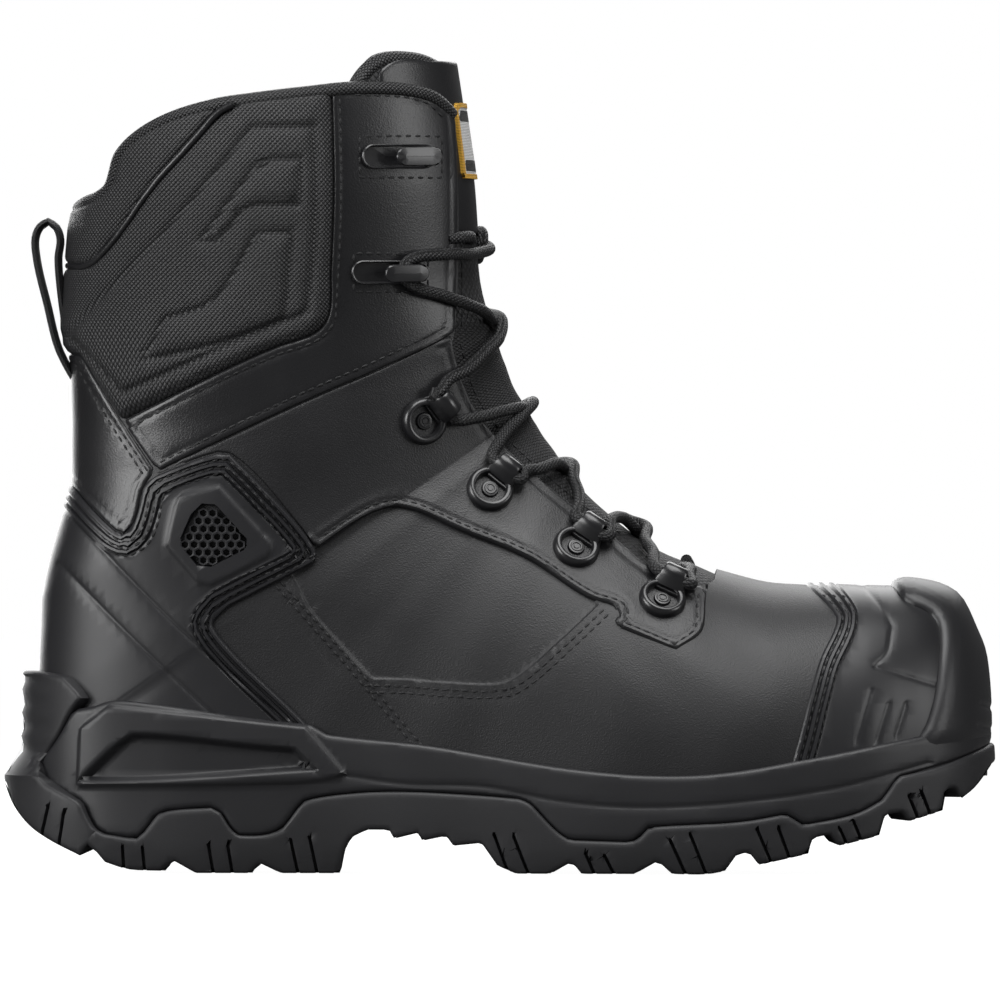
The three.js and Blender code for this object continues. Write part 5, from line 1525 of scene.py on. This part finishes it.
def build_collar_binding():
    """The rolled edge along the top of the shaft and the throat's upper corner, round the back."""
    rim = [p for p in COLLAR_LINE if p[0] > 60]
    bound_edge("collar_binding", eased(drawn(rim), 1.5)[::-1], 0.8, 0.6, 2.3, "collar_textile")


def build_tongue_binding():
    bound_edge("tongue_binding", eased(drawn(TONGUE_RIM), 1.5), 2.2, -5.0, 2.6, "tongue_textile")


def finish_insole():
    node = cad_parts["insole"]
    node.data.materials.clear()
    node.data.materials.append(Finish.get("lining"))


def build_stage():
    """A white floor, soft boxes and the long lens of the product photograph."""
    look = bpy.context.scene.boot_look
    low, high = FRAME_BOX
    mesh = bpy.data.meshes.new("studio_paper")
    reach, below = 9.0, -0.0002
    corners = [(x, y, below) for x, y in ((-reach, -reach), (reach, -reach), (reach, reach), (-reach, reach))]
    mesh.from_pydata(corners, [], [(0, 1, 2, 3)])
    floor = bpy.data.objects.new("studio_paper", mesh)
    bpy.context.scene.collection.objects.link(floor)
    paper = bpy.data.materials.new("studio_paper")
    paper.use_nodes = True
    tree = paper.node_tree
    shader = tree.nodes["Principled BSDF"]
    shader.inputs["Base Color"].default_value = (0.1, 0.1, 0.1, 1)
    shader.inputs["Roughness"].default_value = 0.9
    shader.inputs["Emission Color"].default_value = (0.985, 0.985, 0.985, 1)
    ray = tree.nodes.new("ShaderNodeLightPath")
    tree.links.new(ray.outputs["Is Camera Ray"], shader.inputs["Emission Strength"])
    mesh.materials.append(paper)
    world = bpy.data.worlds.new("studio")
    world.use_nodes = True
    tree = world.node_tree
    room = tree.nodes["Background"]
    room.inputs["Color"].default_value = (1, 1, 1, 1)
    room.inputs["Strength"].default_value = look.fill_strength
    seen = tree.nodes.new("ShaderNodeBackground")
    seen.inputs["Color"].default_value = (1, 1, 1, 1)
    ray = tree.nodes.new("ShaderNodeLightPath")
    pick = tree.nodes.new("ShaderNodeMixShader")
    tree.links.new(ray.outputs["Is Camera Ray"], pick.inputs["Fac"])
    tree.links.new(room.outputs["Background"], pick.inputs[1])
    tree.links.new(seen.outputs["Background"], pick.inputs[2])
    tree.links.new(pick.outputs["Shader"], tree.nodes["World Output"].inputs["Surface"])
    bpy.context.scene.world = world
    centre = Vector(((low[0] + high[0]) / 2, 0, (low[2] + high[2]) / 2))
    for name, place, size, power in (
        ("overhead_box", (0.1, -0.45, 1.1), 0.9, look.key_power),
        ("left_box", (-1.2, -0.75, 0.45), 0.8, look.key_power * 1.05),
        ("right_box", (1.3, -0.6, 0.4), 0.6, look.key_power * 0.35),
        ("back_box", (0.2, 1.2, 0.9), 0.9, look.key_power * 0.55),
        ("far_side_box", (-0.5, 1.6, 0.4), 0.9, look.key_power * 0.8),
    ):
        data = bpy.data.lights.new(name, "AREA")
        data.shape = "SQUARE"
        data.size = size
        data.energy = power
        lamp = bpy.data.objects.new(name, data)
        lamp.location = place
        lamp.rotation_mode = "QUATERNION"
        lamp.rotation_quaternion = (centre - Vector(place)).to_track_quat("-Z", "Y")
        bpy.context.scene.collection.objects.link(lamp)
    data = bpy.data.cameras.new("long_lens")
    data.lens = look.lens
    data.sensor_width = 36
    distance = BOOT_LENGTH / 1000 / (36 / look.lens)
    camera = bpy.data.objects.new("long_lens", data)
    middle = (FLOOR_LINE - 500) * UNIT / 1000
    camera.location = (FrameShift.along, FrameShift.side - 0.03 - distance, middle)
    camera.rotation_euler = (math.pi / 2, 0, 0)
    data.clip_start, data.clip_end = 0.1, 60
    bpy.context.scene.collection.objects.link(camera)
    bpy.context.scene.camera = camera
    bpy.context.scene.view_settings.view_transform = "Standard"


class BootLook(bpy.types.PropertyGroup):
    """Sizes and colours that a user would change."""

    leather_colour: FloatVectorProperty(
        name="Leather colour", description="Base colour of the black leather", subtype="COLOR", size=3,
        default=(0.008, 0.008, 0.009))
    rubber_colour: FloatVectorProperty(
        name="Rubber colour", description="Base colour of sole, counter and guard", subtype="COLOR", size=3,
        default=(0.0095, 0.0095, 0.011))
    textile_colour: FloatVectorProperty(
        name="Textile colour", description="Base colour of collar, tongue and lining", subtype="COLOR", size=3,
        default=(0.0125, 0.0125, 0.0135))
    lace_colour: FloatVectorProperty(
        name="Lace colour", description="Base colour of the laces", subtype="COLOR", size=3,
        default=(0.006, 0.006, 0.007))
    plastic_colour: FloatVectorProperty(
        name="Plastic colour", description="Base colour of eyelets and hooks", subtype="COLOR", size=3,
        default=(0.009, 0.009, 0.01))
    thread_colour: FloatVectorProperty(
        name="Thread colour", description="Base colour of the stitches", subtype="COLOR", size=3,
        default=(0.004, 0.004, 0.005))
    label_colour: FloatVectorProperty(
        name="Label colour", description="Border of the tongue label", subtype="COLOR", size=3,
        default=(0.9, 0.3, 0.03))
    lace_diameter: FloatProperty(
        name="Lace diameter", description="Thickness of the round lace", unit="LENGTH", default=0.0038)
    stitch_pitch: FloatProperty(
        name="Stitch pitch", description="Distance from one stitch to the next", unit="LENGTH", default=0.0031)
    thread_width: FloatProperty(
        name="Thread width", description="Thickness of the sewing thread", unit="LENGTH", default=0.0009)
    lens: FloatProperty(name="Lens", description="Focal length in millimetres", default=600)
    key_power: FloatProperty(name="Key power", description="Power of the overhead soft box", default=16)
    fill_strength: FloatProperty(name="Fill", description="Strength of the white room", default=0.09)


class BOOT_OT_stage(bpy.types.Operator):
    """The floor, the soft boxes and the camera"""

    bl_idname = "boot.stage"
    bl_label = "Stage"

    def execute(self, context):
        build_stage()
        return {"FINISHED"}


class BOOT_OT_upper(bpy.types.Operator):
    """The leather shell with its side panel and strap"""

    bl_idname = "boot.upper"
    bl_label = "Upper"

    def execute(self, context):
        build_upper()
        return {"FINISHED"}


class BOOT_OT_collar(bpy.types.Operator):
    """The padded textile ankle, its binding and its piping"""

    bl_idname = "boot.collar"
    bl_label = "Collar"

    def execute(self, context):
        build_collar()
        build_collar_binding()
        build_collar_piping()
        return {"FINISHED"}


class BOOT_OT_backstay(bpy.types.Operator):
    """The smooth leather over the heel"""

    bl_idname = "boot.backstay"
    bl_label = "Backstay"

    def execute(self, context):
        build_backstay()
        return {"FINISHED"}


class BOOT_OT_facings(bpy.types.Operator):
    """The leather facings on both sides"""

    bl_idname = "boot.facings"
    bl_label = "Facings"

    def execute(self, context):
        build_facing("lateral", -1)
        build_facing("medial", 1)
        return {"FINISHED"}


class BOOT_OT_eyestays(bpy.types.Operator):
    """The quarter panels with the eyelets"""

    bl_idname = "boot.eyestays"
    bl_label = "Eyestays"

    def execute(self, context):
        build_eyestay("lateral", -1)
        build_eyestay("medial", 1)
        return {"FINISHED"}


class BOOT_OT_counter(bpy.types.Operator):
    """The ribbed counter with its vent"""

    bl_idname = "boot.counter"
    bl_label = "Heel counter"

    def execute(self, context):
        build_counter()
        return {"FINISHED"}


class BOOT_OT_guard(bpy.types.Operator):
    """The ribbed guard over the toe"""

    bl_idname = "boot.guard"
    bl_label = "Toe guard"

    def execute(self, context):
        build_guard()
        return {"FINISHED"}


class BOOT_OT_midsole(bpy.types.Operator):
    """The moulded midsole and toe bumper"""

    bl_idname = "boot.midsole"
    bl_label = "Midsole"

    def execute(self, context):
        build_midsole()
        return {"FINISHED"}


class BOOT_OT_outsole(bpy.types.Operator):
    """The lugged tread"""

    bl_idname = "boot.outsole"
    bl_label = "Outsole"

    def execute(self, context):
        build_outsole()
        return {"FINISHED"}


class BOOT_OT_tongue(bpy.types.Operator):
    """The padded tongue, its binding and its label"""

    bl_idname = "boot.tongue"
    bl_label = "Tongue"

    def execute(self, context):
        build_tongue()
        build_tongue_binding()
        build_tongue_leather()
        build_label()
        return {"FINISHED"}


class BOOT_OT_loop(bpy.types.Operator):
    """The webbing loop at the back"""

    bl_idname = "boot.loop"
    bl_label = "Pull loop"

    def execute(self, context):
        build_loop()
        return {"FINISHED"}


class BOOT_OT_eyelets(bpy.types.Operator):
    """The loop eyelets on both sides"""

    bl_idname = "boot.eyelets"
    bl_label = "Eyelets"

    def execute(self, context):
        build_eyelets("lateral", -1)
        build_eyelets("medial", 1)
        return {"FINISHED"}


class BOOT_OT_hooks(bpy.types.Operator):
    """The speed hooks on both sides"""

    bl_idname = "boot.hooks"
    bl_label = "Hooks"

    def execute(self, context):
        build_hooks("lateral", -1)
        build_hooks("medial", 1)
        return {"FINISHED"}


class BOOT_OT_laces(bpy.types.Operator):
    """The crossed lace"""

    bl_idname = "boot.laces"
    bl_label = "Laces"

    def execute(self, context):
        build_laces()
        return {"FINISHED"}


class BOOT_OT_stitches(bpy.types.Operator):
    """Every stitched row"""

    bl_idname = "boot.stitches"
    bl_label = "Stitches"

    def execute(self, context):
        build_stitches()
        return {"FINISHED"}


class BOOT_OT_insole(bpy.types.Operator):
    """The finish of the footbed"""

    bl_idname = "boot.insole"
    bl_label = "Insole"

    def execute(self, context):
        finish_insole()
        return {"FINISHED"}


OPERATORS = [
    BOOT_OT_stage, BOOT_OT_upper, BOOT_OT_collar, BOOT_OT_backstay, BOOT_OT_facings,
    BOOT_OT_eyestays, BOOT_OT_counter, BOOT_OT_guard, BOOT_OT_midsole, BOOT_OT_outsole,
    BOOT_OT_tongue, BOOT_OT_loop, BOOT_OT_eyelets, BOOT_OT_hooks, BOOT_OT_laces,
    BOOT_OT_stitches, BOOT_OT_insole,
]


class BOOT_PT_panel(bpy.types.Panel):
    """Lists the steps that build the boot."""

    bl_idname = "BOOT_PT_panel"
    bl_label = "Safety boot"
    bl_space_type = "VIEW_3D"
    bl_region_type = "UI"
    bl_category = "Boot"

    def draw(self, context):
        for kind in OPERATORS:
            self.layout.operator(kind.bl_idname)
        for name in BootLook.__annotations__:
            self.layout.prop(context.scene.boot_look, name)


def register():
    for kind in [BootLook, *OPERATORS, BOOT_PT_panel]:
        bpy.utils.register_class(kind)
    bpy.types.Scene.boot_look = PointerProperty(type=BootLook)


def unregister():
    del bpy.types.Scene.boot_look
    for kind in [BOOT_PT_panel, *reversed(OPERATORS), BootLook]:
        bpy.utils.unregister_class(kind)


def main():
    register()
    for kind in OPERATORS:
        getattr(bpy.ops.boot, kind.bl_idname.split(".")[1])()


if __name__ == "__main__":
    main()
